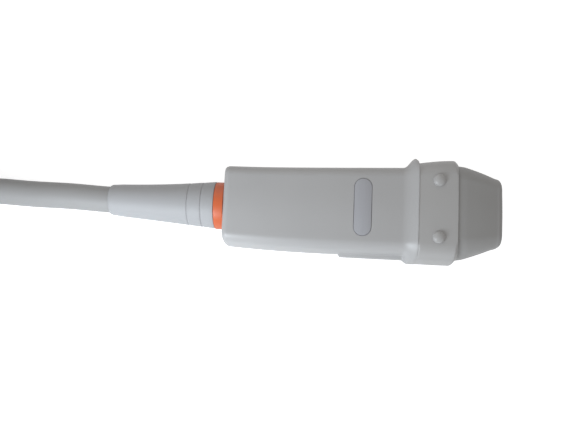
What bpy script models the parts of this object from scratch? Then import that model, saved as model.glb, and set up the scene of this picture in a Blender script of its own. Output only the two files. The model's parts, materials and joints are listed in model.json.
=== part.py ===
"""Hand-held ultrasound transducer probe of the phased-array kind, with its cable and connector.

Metres, +Z up. The probe lies on its broad back face as on a table, with its lens towards +X.
The origin is under the middle of the probe, on the surface that it lies on.

The probe is modelled along its own axis: s runs from the back face of the grip towards the
lens, y across the width and z through the thickness. An empty then lays it on the table.
"""

import math
from typing import NamedTuple

import bmesh
import bpy
import numpy as np
from mathutils import Matrix, Vector

# Clearances
CLEAR = 0.0003
BOND = 0.0001
MERGE = 1e-7

# Acoustic stack behind the window
LENS_WIDTH = 0.0160
LENS_THICKNESS = 0.0094
LENS_CORNER = 0.0012
LENS_PROUD = 0.0003
LENS_EDGE = 0.0003
MATCHING_LAYER = 0.0004
ELEMENT_COUNT = 64
ELEMENT_DEPTH = 0.0009
ELEMENT_BASE = 0.0003
KERF = 0.00005
BACKING_LENGTH = 0.0080
FLEX_THICKNESS = 0.0002
CARRIER_LENGTH = 0.0060

# Grip: two hollow half shells, wider towards the head, with sides that lean in to the broad faces
GRIP_LENGTH = 0.0552
GRIP_REAR_WIDTH = 0.0251
HEAD_ROOM_ACROSS = 0.0116
HEAD_ROOM_THROUGH = 0.0082
GRIP_FRONT_WIDTH = LENS_WIDTH + HEAD_ROOM_ACROSS
GRIP_BULGE = 0.0002
GRIP_REAR_THICKNESS = 0.0172
GRIP_FRONT_THICKNESS = LENS_THICKNESS + HEAD_ROOM_THROUGH
GRIP_CORNER = 0.0026
GRIP_LEAN = 0.0018
GRIP_CROWN = 0.0003
GRIP_WALL = 0.0016
REAR_WALL = 0.0020
REAR_EDGE = 0.0020
PARTING_GAP = 0.0002

# Collar between the finger stop and the nose
COLLAR_LENGTH = 0.0118
COLLAR_STEP_ACROSS = 0.0034
COLLAR_STEP_THROUGH = 0.0038
COLLAR_FLARE_ACROSS = 0.0012
COLLAR_FLARE_THROUGH = 0.0006
COLLAR_REAR_WIDTH = GRIP_FRONT_WIDTH + COLLAR_STEP_ACROSS
COLLAR_FRONT_WIDTH = COLLAR_REAR_WIDTH + COLLAR_FLARE_ACROSS
COLLAR_REAR_THICKNESS = GRIP_FRONT_THICKNESS + COLLAR_STEP_THROUGH
COLLAR_FRONT_THICKNESS = COLLAR_REAR_THICKNESS + COLLAR_FLARE_THROUGH
COLLAR_CORNER = 0.0042
COLLAR_LEAN = 0.0020
COLLAR_CHAMFER = 0.0018
CHAMFER_LENGTH = 0.0021
COLLAR_EDGE = 0.0002
HEAD_WALL = 0.0016
SPIGOT_LENGTH = 0.0038
SPIGOT_WALL = 0.0013
NUB_RADIUS = 0.0019
NUB_HEIGHT = 0.0011
NUB_SPACING = 0.0172
NUB_SETBACK = 0.0046
GASKET_WIDTH = 0.0012
GASKET_DEPTH = 0.0005

# Finger stop, which flares at the front of the grip and drops to the collar
STOP_RISE = 0.0044
STOP_FLARE_ACROSS = 0.0016
STOP_FLARE_THROUGH = 0.0006
STOP_WIDTH = COLLAR_REAR_WIDTH + STOP_FLARE_ACROSS
STOP_THICKNESS = COLLAR_REAR_THICKNESS + STOP_FLARE_THROUGH
STOP_CORNER = 0.0052
STOP_OFFSET = 0.0004
LIP_FALL = 0.0014
LIP_INSET_ACROSS = 0.0004
LIP_INSET_THROUGH = 0.0002
LIP_WIDTH = COLLAR_REAR_WIDTH - LIP_INSET_ACROSS
LIP_THICKNESS = COLLAR_REAR_THICKNESS - LIP_INSET_THROUGH

# Orientation rib on the -Y narrow side
RIB_START = 0.0362
RIB_HEIGHT = 0.0009
RIB_WIDTH = 0.0036
RIB_SLOPE = 0.0007

# Nose, with the lens window in its front
NOSE_LENGTH = 0.0121
NOSE_SHOULDER = 0.0022
NOSE_SHOULDER_DROP = 0.0003
NOSE_BULGE = 0.00015
NOSE_ROOM_ACROSS = 0.0054
NOSE_ROOM_THROUGH = 0.0052
NOSE_FRONT_WIDTH = LENS_WIDTH + NOSE_ROOM_ACROSS
NOSE_FRONT_THICKNESS = LENS_THICKNESS + NOSE_ROOM_THROUGH
NOSE_CORNER = 0.0036
NOSE_REAR_LEAN = 0.0028
NOSE_FRONT_LEAN = 0.0006
NOSE_EDGE = 0.0018
NOSE_WALL = 0.0013
NOSE_FRONT_WALL = 0.0015

# Electronics in the grip
CHASSIS_THICKNESS = 0.0012
CHASSIS_START = 0.0125
BOARD_THICKNESS = 0.0008
BOARD_LENGTH = 0.0340
BOARD_SETBACK = 0.0030
BOARD_INSET = 0.0012
SPACER_HEIGHT = 0.0010
SPACER_LENGTH = 0.0060
FLEX_WIDTH = 0.0140
FLEX_LAP = 0.0060
SHIELD_THICKNESS = 0.0003
BUNDLE_DIAMETER = 0.0024
BUNDLE_LAP = 0.0060

# Cable, its strain reliefs and the ring that marks the probe
CABLE_DIAMETER = 0.0084
CABLE_BORE = CABLE_DIAMETER + 2 * CLEAR
BOOT_LENGTH = 0.0338
BOOT_ROOT_ROOM = 0.0063
BOOT_TIP_ROOM = 0.0014
BOOT_ROOT_DIAMETER = CABLE_DIAMETER + BOOT_ROOT_ROOM
BOOT_TIP_DIAMETER = CABLE_DIAMETER + BOOT_TIP_ROOM
BOOT_WAIST = 0.0002
BOOT_SET = 0.0009
BOOT_NECK_DIAMETER = CABLE_BORE + 0.0024
BOOT_FLANGE_DIAMETER = BOOT_NECK_DIAMETER + 0.0018
BOOT_FLANGE_THICKNESS = 0.0012
GROOVE_WIDTH = 0.0004
GROOVE_DEPTH = 0.0004
GROOVE_PLACES = (0.0032, 0.0076)
ID_RING_LENGTH = 0.0033
ID_RING_ROOM = 0.0065
ID_RING_DIAMETER = CABLE_DIAMETER + ID_RING_ROOM
FERRULE_LENGTH = 0.0040
FERRULE_DIAMETER = CABLE_BORE + 0.0022

# Badge in the upper broad face
BADGE_PLACE = 0.0433
BADGE_SPAN = 0.0178
BADGE_WIDTH = 0.0054
BADGE_THICKNESS = 0.0005
BADGE_SINK = 0.0001

# Cable on the table between the strain relief and the coil: x, y and how far it is off the table
TABLE_ROUTE = (
    (-0.0740, 0.0011, 0.0014),
    (-0.0870, 0.0014, 0.0005),
    (-0.1000, 0.0019, 0.0001),
    (-0.1100, 0.0009, 0.0),
    (-0.1180, -0.0029, 0.0),
    (-0.1260, -0.0076, 0.0),
    (-0.1335, -0.0117, 0.0),
)

# Coil that holds the length of the cable that is not in use
COIL_CENTRE = (-0.1589, 0.0325)
COIL_MEAN_RADIUS = 0.0425
COIL_TURNS_ACROSS = 3
COIL_LAYERS = 2
LAST_BEND = 0.0340
LAST_CLIMB = 1.5
LEAVING_ANGLE = math.radians(20)
TAIL_START_ANGLE = math.radians(95)

# Connector that lies on the coil, modelled like the probe: its cable leaves towards -x
CASE_LENGTH = 0.0440
CASE_WIDTH = 0.0620
CASE_HEIGHT = 0.0280
CASE_CORNER = 0.0050
CASE_EDGE = 0.0025
CASE_WALL = 0.0020
CABLE_OFFSET = 0.0200
CONNECTOR_BOOT_LENGTH = 0.0220
FRAME_FLANGE = 0.0015
FRAME_INSET = 0.0006
FRAME_RIM_LENGTH = 0.0062
FRAME_RIM_WIDTH = 0.0460
FRAME_RIM_HEIGHT = 0.0180
FRAME_RIM_WALL = 0.0012
FRAME_SPIGOT = 0.0040
CONTACT_RECESS = 0.0020
CONTACT_COUNT = 20
CONTACT_GROOVE = 0.0008
CONTACT_BLOCK_LENGTH = 0.0120
SHAFT_DIAMETER = 0.0060
KEY_LENGTH = 0.0110
KEY_THICKNESS = 0.0011
KEY_WIDTH = 0.0028
KNOB_DIAMETER = 0.0200
KNOB_BASE = 0.0030
KNOB_HEIGHT = 0.0120
KNOB_GRIP = 0.0060
KNOB_GRIP_EDGE = 0.0012
KNOB_SOCKET = 0.0060
KNOB_HUB_WALL = 0.0014
WIRING_DIAMETER = 0.0060
WIRING_STEP = 0.0060

ARC_STEPS = 5
CROWN_STEPS = 4
GRIP_RING_SHARES = (0.2, 0.4)
SWELL_SHARES = (0.35, 0.7, 1.0)
TIP_ROUNDING = 0.8
COIL_ROUNDING = 0.3

# Places along the probe's axis that follow from the sizes
STOP_START = GRIP_LENGTH
STOP_TOP = STOP_START + STOP_RISE
GRIP_END = STOP_TOP + LIP_FALL
COLLAR_START = GRIP_END + CLEAR
COLLAR_END = COLLAR_START + COLLAR_LENGTH
CHAMFER_START = COLLAR_END - CHAMFER_LENGTH
NOSE_START = COLLAR_END + CLEAR
NOSE_END = NOSE_START + NOSE_LENGTH
SPIGOT_START = COLLAR_START - SPIGOT_LENGTH
NOSE_SPIGOT_START = NOSE_START - SPIGOT_LENGTH
NECK_HOLE = BOOT_NECK_DIAMETER + 2 * CLEAR
FERRULE_START = REAR_WALL + CLEAR + BOOT_FLANGE_THICKNESS + CLEAR
COIL_RADIUS = COIL_MEAN_RADIUS + COIL_TURNS_ACROSS * CABLE_DIAMETER / 2
COIL_HOLE = COIL_MEAN_RADIUS - COIL_TURNS_ACROSS * CABLE_DIAMETER / 2
COIL_HEIGHT = COIL_LAYERS * CABLE_DIAMETER
OUTER_TURN = COIL_RADIUS - CABLE_DIAMETER / 2


class Ring(NamedTuple):
    """One section across the axis: a rounded rectangle, with a crown on its broad faces.

    lean is how far its sides lean in from the parting plane to the broad faces.
    """

    s: float
    half_width: float
    half_thickness: float
    corner: float
    lean: float = 0.0
    crown: float = 0.0
    rib: float = 0.0
    shift: float = 0.0


def circle(s, radius, shift=0.0):
    return Ring(s, radius, radius, radius, shift=shift)


def mix(start, end, share):
    return start + (end - start) * share


def half_section(ring):
    """(y, z) points over the upper half of a section, from its -Y side to its +Y side."""
    top = ring.half_thickness - ring.crown
    corner = min(ring.corner, ring.half_width, top)
    flat, wall = ring.half_width - corner, top - corner
    edge = -ring.half_width
    rib_foot = min(RIB_WIDTH / 2, wall)
    rib_top = min(RIB_WIDTH / 2 - RIB_SLOPE, wall)
    points = [(edge - ring.rib, 0.0), (edge - ring.rib, rib_top), (edge, rib_foot)]
    for step in range(ARC_STEPS + 1):
        angle = math.pi - step * math.pi / 2 / ARC_STEPS
        points.append((-flat + corner * math.cos(angle), wall + corner * math.sin(angle)))
    for step in range(1, CROWN_STEPS):
        across = 2 * step / CROWN_STEPS - 1
        points.append((flat * across, top + ring.crown * (1 - across**2) ** 2))
    for step in range(ARC_STEPS + 1):
        angle = math.pi / 2 - step * math.pi / 2 / ARC_STEPS
        points.append((flat + corner * math.cos(angle), wall + corner * math.sin(angle)))
    points += [(-edge, rib_foot), (-edge, rib_top), (-edge, 0.0)]
    lean = ring.lean / (ring.half_width * top**2)
    return [(y * (1 - lean * min(z, top) ** 2) + ring.shift, z) for y, z in points]


def new_material(name, colour, roughness, metallic=0.0):
    material = bpy.data.materials.new(name)
    material.use_nodes = True
    shader = material.node_tree.nodes["Principled BSDF"]
    shader.inputs["Base Color"].default_value = (*colour, 1.0)
    shader.inputs["Roughness"].default_value = roughness
    shader.inputs["Metallic"].default_value = metallic
    return material


def place(obj, collection, material, parent=None):
    """Links a new object, finished and hung under its parent."""
    collection.objects.link(obj)
    obj.parent = parent
    if material:
        obj.data.materials.append(material)
    if obj.type == "MESH":
        obj.data.shade_smooth()
        obj.data.set_sharp_from_angle(angle=math.radians(30))
    return obj


def mesh_object(name, bm):
    bmesh.ops.remove_doubles(bm, verts=bm.verts, dist=MERGE)
    bmesh.ops.recalc_face_normals(bm, faces=bm.faces)
    if bm.calc_volume(signed=True) < 0:
        bmesh.ops.reverse_faces(bm, faces=bm.faces)
    mesh = bpy.data.meshes.new(name)
    bm.to_mesh(mesh)
    bm.free()
    return bpy.data.objects.new(name, mesh)


def loft(name, rings, half=0, capped=False):
    """A body through a run of sections: a closed loop of them, or an open run with capped ends.

    half is 1 or -1 for the half shell above or below the parting plane, which has a seam face
    along each narrow side, and 0 for a section that runs all the way round.
    """
    bm = bmesh.new()
    rows = []
    for ring in rings:
        points = half_section(ring)
        if half:
            points = [(y, half * max(z, PARTING_GAP / 2)) for y, z in points]
        else:
            points += [(y, -z) for y, z in points[-2:0:-1]]
        rows.append([bm.verts.new((ring.s, y, z)) for y, z in points])
    count = len(rows[0])
    after = rows[1:] if capped else rows[1:] + rows[:1]
    for row, following in zip(rows, after):
        for j in range(count - 1 if half else count):
            k = (j + 1) % count
            bm.faces.new((row[j], following[j], following[k], row[k]))
    if half:
        bm.faces.new([row[0] for row in rows])
        bm.faces.new([row[-1] for row in rows])
    if capped:
        bm.faces.new(rows[0])
        bm.faces.new(rows[-1])
    return mesh_object(name, bm)


def flat_outline(name, points, thickness):
    """A flat piece with this outline, its thickness centred on its own plane."""
    curve = bpy.data.curves.new(name, "CURVE")
    curve.dimensions = "2D"
    curve.fill_mode = "BOTH"
    curve.extrude = thickness / 2
    spline = curve.splines.new("POLY")
    spline.points.add(len(points) - 1)
    for point, (x, y) in zip(spline.points, points):
        point.co = (x, y, 0.0, 1.0)
    spline.use_cyclic_u = True
    return bpy.data.objects.new(name, curve)


def comb(front, back, base, half_width, count, groove):
    """Outline of a bar with its front cut into count teeth of equal pitch."""
    pitch = 2 * half_width / count
    points = [(back, half_width), (back, -half_width)]
    for index in range(count):
        low = -half_width + index * pitch
        points.append((front, low))
        if index < count - 1:
            points.append((front, low + pitch - groove))
            points.append((base, low + pitch - groove))
            points.append((base, low + pitch))
        else:
            points.append((front, low + pitch))
    return points


def tube(name, points, diameter):
    curve = bpy.data.curves.new(name, "CURVE")
    curve.dimensions = "3D"
    curve.bevel_depth = diameter / 2
    curve.bevel_resolution = 2
    curve.use_fill_caps = True
    spline = curve.splines.new("POLY")
    spline.points.add(len(points) - 1)
    for point, where in zip(spline.points, points):
        point.co = (*where, 1.0)
    return bpy.data.objects.new(name, curve)


def smooth_route(points, spacing):
    """Points at an even spacing on one smooth curve through the given points."""
    knots = [Vector(point) for point in points]
    knots = [2 * knots[0] - knots[1], *knots, 2 * knots[-1] - knots[-2]]
    fine = []
    for a, b, c, d in zip(knots, knots[1:], knots[2:], knots[3:]):
        for step in range(12):
            t = step / 12
            fine.append(
                0.5
                * (
                    2 * b
                    + (c - a) * t
                    + (2 * a - 5 * b + 4 * c - d) * t**2
                    + (3 * b - a - 3 * c + d) * t**3
                )
            )
    fine.append(knots[-2])
    lengths = np.cumsum([0.0] + [(q - p).length for p, q in zip(fine, fine[1:])])
    count = max(2, round(lengths[-1] / spacing))
    wanted = np.linspace(0, lengths[-1], count + 1)
    return np.stack([np.interp(wanted, lengths, [p[axis] for p in fine]) for axis in range(3)], 1)


def cylinder(name, radius, start, end, sides=32):
    """A cylinder along x, from start to end."""
    bm = bmesh.new()
    bmesh.ops.create_cone(
        bm,
        cap_ends=True,
        segments=sides,
        radius1=radius,
        radius2=radius,
        depth=end - start,
        matrix=Matrix.Translation(((start + end) / 2, 0, 0)) @ Matrix.Rotation(math.pi / 2, 4, "Y"),
    )
    return mesh_object(name, bm)


def box(name, low, high, bevel=0.0):
    bm = bmesh.new()
    size = Vector(high) - Vector(low)
    middle = (Vector(high) + Vector(low)) / 2
    bmesh.ops.create_cube(bm, size=1.0, matrix=Matrix.Translation(middle) @ Matrix.Diagonal((*size, 1)))
    if bevel:
        bmesh.ops.bevel(bm, geom=bm.edges, offset=bevel, segments=2, profile=0.5, affect="EDGES")
    return mesh_object(name, bm)


def boolean(obj, helper, operation):
    """Cuts the helper from the object, or joins it on; the helper stays hidden as a guide."""
    modifier = obj.modifiers.new(helper.name, "BOOLEAN")
    modifier.operation = operation
    modifier.solver = "EXACT"
    modifier.object = helper
    helper.hide_render = True
    helper.display_type = "WIRE"
    return obj


def grip_half(s):
    """Outer half width and half thickness of the grip at a place along it."""
    share = min(max(s / GRIP_LENGTH, 0.0), 1.0)
    width = mix(GRIP_REAR_WIDTH, GRIP_FRONT_WIDTH, share) / 2
    thickness = mix(GRIP_REAR_THICKNESS, GRIP_FRONT_THICKNESS, share) / 2
    return width + GRIP_BULGE * math.sin(math.pi * share), thickness


def grip_ring(s, inset=0.0, rib=0.0):
    half_width, half_thickness = grip_half(s)
    corner = max(GRIP_CORNER - inset, CLEAR)
    return Ring(s, half_width - inset, half_thickness - inset, corner, GRIP_LEAN, GRIP_CROWN, rib)


def grip_rings():
    """The half shells' sections, from the gland hole over the outside and back along the inside."""
    rings = [circle(0.0, NECK_HOLE / 2)]
    for step in range(5):
        angle = step * math.pi / 8
        rings.append(
            grip_ring(REAR_EDGE * (1 - math.cos(angle)), REAR_EDGE * (1 - math.sin(angle)))
        )
    rib_end = RIB_START + RIB_SLOPE
    for s in (*(GRIP_LENGTH * share for share in GRIP_RING_SHARES), RIB_START):
        rings.append(grip_ring(s))
    for s in (rib_end, mix(rib_end, STOP_START, 0.5), STOP_START):
        rings.append(grip_ring(s, rib=RIB_HEIGHT))
    width, thickness = grip_half(STOP_START)
    for step in range(1, 7):
        share = step / 6
        rise = 0.5 - 0.5 * math.cos(math.pi * share)
        half_width = mix(width, STOP_WIDTH / 2, rise)
        rings.append(
            Ring(
                STOP_START + STOP_RISE * share,
                half_width,
                mix(thickness, STOP_THICKNESS / 2, rise),
                mix(GRIP_CORNER, STOP_CORNER, rise),
                mix(GRIP_LEAN, COLLAR_LEAN, rise),
                GRIP_CROWN,
                max(0.0, width + RIB_HEIGHT - half_width),
                STOP_OFFSET * rise,
            )
        )
    for share in SWELL_SHARES:
        fall = share**2
        rings.append(
            Ring(
                STOP_TOP + LIP_FALL * share,
                mix(STOP_WIDTH, LIP_WIDTH, fall) / 2,
                mix(STOP_THICKNESS, LIP_THICKNESS, fall) / 2,
                mix(STOP_CORNER, COLLAR_CORNER, fall),
                COLLAR_LEAN,
                GRIP_CROWN,
                shift=STOP_OFFSET * (1 - fall),
            )
        )
    for s in (GRIP_END, STOP_START, GRIP_LENGTH * 0.5, REAR_WALL):
        inner = grip_ring(s, GRIP_WALL)
        rings.append(inner._replace(crown=0.0))
    rings.append(circle(REAR_WALL, NECK_HOLE / 2))
    return rings


def inner_half(s, depth):
    """Half sizes of what fits inside the grip wall, this deep below the wall's inner face."""
    half_width, half_thickness = grip_half(s)
    return half_width - GRIP_WALL - depth, half_thickness - GRIP_WALL - depth


def bore_ring(s, depth=0.0):
    """Section of the space inside the grip's front, where the collar's spigot goes."""
    half_width, half_thickness = inner_half(GRIP_LENGTH, depth)
    return Ring(s, half_width, half_thickness, max(GRIP_CORNER - GRIP_WALL - depth, CLEAR), GRIP_LEAN)


def head_ring(s, depth=0.0):
    """Section of the space inside the collar, where the nose's spigot goes."""
    width, thickness = collar_front()
    return Ring(
        s,
        width / 2 - HEAD_WALL - depth,
        thickness / 2 - HEAD_WALL - depth,
        max(COLLAR_CORNER - HEAD_WALL - depth, CLEAR),
        COLLAR_LEAN,
    )


def collar_rings():
    """Spigot in the grip, gasket groove, collar outside, chamfered front, and the bore back."""
    spigot = CLEAR
    groove = spigot + GASKET_DEPTH
    groove_start = SPIGOT_START + (SPIGOT_LENGTH - GASKET_WIDTH) / 2 - CLEAR
    groove_end = groove_start + GASKET_WIDTH + 2 * CLEAR
    rings = [bore_ring(SPIGOT_START, spigot), bore_ring(groove_start, spigot)]
    rings += [bore_ring(groove_start, groove), bore_ring(groove_end, groove)]
    rings += [bore_ring(groove_end, spigot), bore_ring(COLLAR_START, spigot)]
    outside = [collar_ring(COLLAR_START, COLLAR_EDGE), collar_ring(COLLAR_START + COLLAR_EDGE)]
    outside += [collar_ring(mix(COLLAR_START, CHAMFER_START, share)) for share in SWELL_SHARES]
    outside.append(collar_ring(COLLAR_END, COLLAR_CHAMFER))
    rings += outside
    shoulder = COLLAR_START + SPIGOT_WALL
    rings += [head_ring(COLLAR_END), head_ring(shoulder)]
    rings += [bore_ring(shoulder, spigot + GASKET_DEPTH + SPIGOT_WALL)]
    rings += [bore_ring(SPIGOT_START, spigot + GASKET_DEPTH + SPIGOT_WALL)]
    return rings


def collar_ring(s, inset=0.0):
    """Section of the collar's outside, which swells from its rear edge to its chamfer."""
    share = (s - COLLAR_START) / (CHAMFER_START - COLLAR_START)
    swell = math.sin(math.pi / 2 * min(share, 1.0))
    return Ring(
        s,
        mix(COLLAR_REAR_WIDTH, COLLAR_FRONT_WIDTH, swell) / 2 - inset,
        mix(COLLAR_REAR_THICKNESS, COLLAR_FRONT_THICKNESS, swell) / 2 - inset,
        COLLAR_CORNER,
        COLLAR_LEAN,
        GRIP_CROWN,
    )


def collar_front():
    """Width and thickness of the collar's front face, inside its chamfer."""
    return COLLAR_FRONT_WIDTH - 2 * COLLAR_CHAMFER, COLLAR_FRONT_THICKNESS - 2 * COLLAR_CHAMFER


def nose_half(s):
    """Outer half sizes of the nose before its front edge is rounded."""
    width, thickness = (side / 2 for side in collar_front())
    shoulder_end = NOSE_START + NOSE_SHOULDER
    if s <= shoulder_end:
        drop = NOSE_SHOULDER_DROP * (s - NOSE_START) / NOSE_SHOULDER
        return width - drop, thickness - drop
    share = (s - shoulder_end) / (NOSE_END - NOSE_EDGE - shoulder_end)
    bulge = NOSE_BULGE * math.sin(math.pi * share)
    return (
        mix(width - NOSE_SHOULDER_DROP, NOSE_FRONT_WIDTH / 2, share) + bulge,
        mix(thickness - NOSE_SHOULDER_DROP, NOSE_FRONT_THICKNESS / 2, share) + bulge,
    )


def nose_inner_ring(s, depth=0.0):
    """Section of the cavity in the nose, which narrows from its spigot to the window."""
    start, end = NOSE_START + NOSE_SHOULDER, NOSE_END - NOSE_FRONT_WALL
    share = min(max((s - start) / (end - start), 0.0), 1.0)
    rear = head_ring(s, CLEAR + NOSE_WALL)
    return Ring(
        s,
        mix(rear.half_width, NOSE_FRONT_WIDTH / 2 - NOSE_WALL, share) - depth,
        mix(rear.half_thickness, NOSE_FRONT_THICKNESS / 2 - NOSE_WALL, share) - depth,
        max(NOSE_CORNER - NOSE_WALL - depth, CLEAR),
        mix(COLLAR_LEAN, NOSE_FRONT_LEAN, share),
    )


def nose_rings():
    """Spigot in the collar, tapering outside, rounded front edge, lens window and the cavity."""
    rings = [head_ring(NOSE_SPIGOT_START, CLEAR), head_ring(NOSE_START, CLEAR)]
    edge_start = NOSE_END - NOSE_EDGE
    shoulder_end = NOSE_START + NOSE_SHOULDER
    for s in (NOSE_START, shoulder_end, mix(shoulder_end, edge_start, 0.5), edge_start):
        half_width, half_thickness = nose_half(s)
        share = (s - NOSE_START) / (edge_start - NOSE_START)
        corner = mix(COLLAR_CORNER, NOSE_CORNER, share)
        lean = mix(NOSE_REAR_LEAN, NOSE_FRONT_LEAN, share)
        rings.append(Ring(s, half_width, half_thickness, corner, lean, GRIP_CROWN))
    for step in range(1, 5):
        angle = step * math.pi / 8
        inset = NOSE_EDGE * (1 - math.cos(angle))
        rings.append(
            Ring(
                edge_start + NOSE_EDGE * math.sin(angle),
                NOSE_FRONT_WIDTH / 2 - inset,
                NOSE_FRONT_THICKNESS / 2 - inset,
                max(NOSE_CORNER - inset, CLEAR),
                NOSE_FRONT_LEAN,
            )
        )
    window = lens_ring(NOSE_END, CLEAR)
    cavity_front = NOSE_END - NOSE_FRONT_WALL
    rings += [window, window._replace(s=cavity_front)]
    rings += [nose_inner_ring(cavity_front), nose_inner_ring(shoulder_end)]
    rings += [nose_inner_ring(NOSE_START), nose_inner_ring(NOSE_SPIGOT_START)]
    return rings


def lens_ring(s, grow=0.0):
    return Ring(s, LENS_WIDTH / 2 + grow, LENS_THICKNESS / 2 + grow, LENS_CORNER + grow)


def boot_rings(length, tip_diameter, side_set, wall, root):
    """A strain relief that clips into a wall: taper with grooves, neck, flange, and its bore.

    root is how far the taper's wide end stands off the wall's outer face.
    """
    bore = CABLE_BORE / 2
    tip_round = (tip_diameter / 2 - bore) * TIP_ROUNDING
    flange_start = wall + CLEAR
    flange_end = flange_start + BOOT_FLANGE_THICKNESS
    tip = -root - length

    def shift_at(s):
        return side_set * max(0.0, (-root - s) / length) ** 2

    def radius_at(s):
        share = (-root - s) / length
        waist = BOOT_WAIST * math.sin(math.pi * share)
        return mix(BOOT_ROOT_DIAMETER, tip_diameter, share) / 2 - waist

    flange = BOOT_FLANGE_DIAMETER / 2
    rings = [circle(flange_end, flange), circle(flange_start, flange)]
    rings += [circle(flange_start, BOOT_NECK_DIAMETER / 2), circle(-root, BOOT_NECK_DIAMETER / 2)]
    rings.append(circle(-root, BOOT_ROOT_DIAMETER / 2))
    for distance in GROOVE_PLACES:
        start = -root - distance
        end = start - GROOVE_WIDTH
        rings.append(circle(start, radius_at(start), shift_at(start)))
        rings.append(circle(start, radius_at(start) - GROOVE_DEPTH, shift_at(start)))
        rings.append(circle(end, radius_at(end) - GROOVE_DEPTH, shift_at(end)))
        rings.append(circle(end, radius_at(end), shift_at(end)))
    last = GROOVE_PLACES[-1] + GROOVE_WIDTH
    for share in (0.25, 0.5, 0.75):
        s = -root - mix(last, length - tip_round, share)
        rings.append(circle(s, radius_at(s), shift_at(s)))
    for step in range(4):
        angle = step * math.pi / 6
        s = tip + tip_round * (1 - math.sin(angle))
        inset = tip_round * (1 - math.cos(angle))
        rings.append(circle(s, radius_at(tip + tip_round) - inset, shift_at(s)))
    for share in (0.0, 0.33, 0.67, 1.0):
        s = mix(tip, -root, share)
        rings.append(circle(s, bore, shift_at(s)))
    rings.append(circle(flange_end, bore))
    return rings


def sleeve(name, start, end, inner, outer, edge=0.0):
    """A plain ring along x."""
    rings = [circle(start, inner), circle(start, outer - edge)]
    if edge:
        rings += [circle(start + edge, outer), circle(end - edge, outer)]
    rings += [circle(end, outer - edge), circle(end, inner)]
    return loft(name, rings)


def stadium(name, span, width, low, high):
    """A flat bar with round ends, long across y and centred on the axis."""
    reach = (span - width) / 2
    points = []
    for end, first in ((reach, 0.0), (-reach, math.pi)):
        for step in range(13):
            angle = first + step * math.pi / 12
            points.append((width / 2 * math.cos(angle), end + width / 2 * math.sin(angle)))
    bm = bmesh.new()
    face = bm.faces.new([bm.verts.new((x, y, low)) for x, y in points])
    grown = bmesh.ops.extrude_face_region(bm, geom=[face])
    top = [item for item in grown["geom"] if isinstance(item, bmesh.types.BMVert)]
    bmesh.ops.translate(bm, verts=top, vec=(0, 0, high - low))
    return mesh_object(name, bm)


def build_shells(group, helpers, axis, finish):
    for name, half in (("upper_shell", 1), ("lower_shell", -1)):
        shell = loft(name, grip_rings(), half)
        place(shell, group, finish, axis)
        if half == 1:
            depth = BADGE_THICKNESS + CLEAR
            pocket = stadium("badge_pocket", BADGE_SPAN + 2 * CLEAR, BADGE_WIDTH + 2 * CLEAR, -depth, depth)
            place(pocket, helpers, None, axis)
            set_on_face(pocket)
            boolean(shell, pocket, "DIFFERENCE")


def set_on_face(obj):
    """Puts a piece at the badge's place, level with the upper broad face."""
    slope = math.atan2((GRIP_FRONT_THICKNESS - GRIP_REAR_THICKNESS) / 2, GRIP_LENGTH)
    obj.location = (BADGE_PLACE, 0, grip_half(BADGE_PLACE)[1])
    obj.rotation_euler.y = -slope


def build_badge(group, axis, finish):
    badge = stadium("badge_plate", BADGE_SPAN, BADGE_WIDTH, -BADGE_THICKNESS, -BADGE_SINK)
    set_on_face(place(badge, group, finish, axis))


def build_head(group, helpers, axis, collar_finish, nose_finish):
    collar = place(loft("head_collar", collar_rings()), group, collar_finish, axis)
    nub_place = COLLAR_START + NUB_SETBACK
    half_thickness = collar_ring(nub_place).half_thickness
    for face in (1, -1):
        for side in (1, -1):
            bm = bmesh.new()
            bmesh.ops.create_uvsphere(bm, u_segments=16, v_segments=8, radius=1.0)
            squash = (NUB_RADIUS, NUB_RADIUS, NUB_HEIGHT + GRIP_CROWN, 1)
            height = face * (half_thickness - GRIP_CROWN)
            where = Matrix.Translation((nub_place, side * NUB_SPACING / 2, height))
            bmesh.ops.transform(bm, matrix=where @ Matrix.Diagonal(squash), verts=bm.verts)
            nub = mesh_object("nub_shape", bm)
            place(nub, helpers, None, axis)
            boolean(collar, nub, "UNION")
    place(loft("nose_case", nose_rings()), group, nose_finish, axis)


def build_gasket(group, axis, finish):
    start = SPIGOT_START + (SPIGOT_LENGTH - GASKET_WIDTH) / 2
    end = start + GASKET_WIDTH
    outer, inner = BOND, GASKET_DEPTH + BOND
    rings = [bore_ring(start, outer), bore_ring(end, outer), bore_ring(end, inner), bore_ring(start, inner)]
    place(loft("head_gasket", rings), group, finish, axis)


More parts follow.
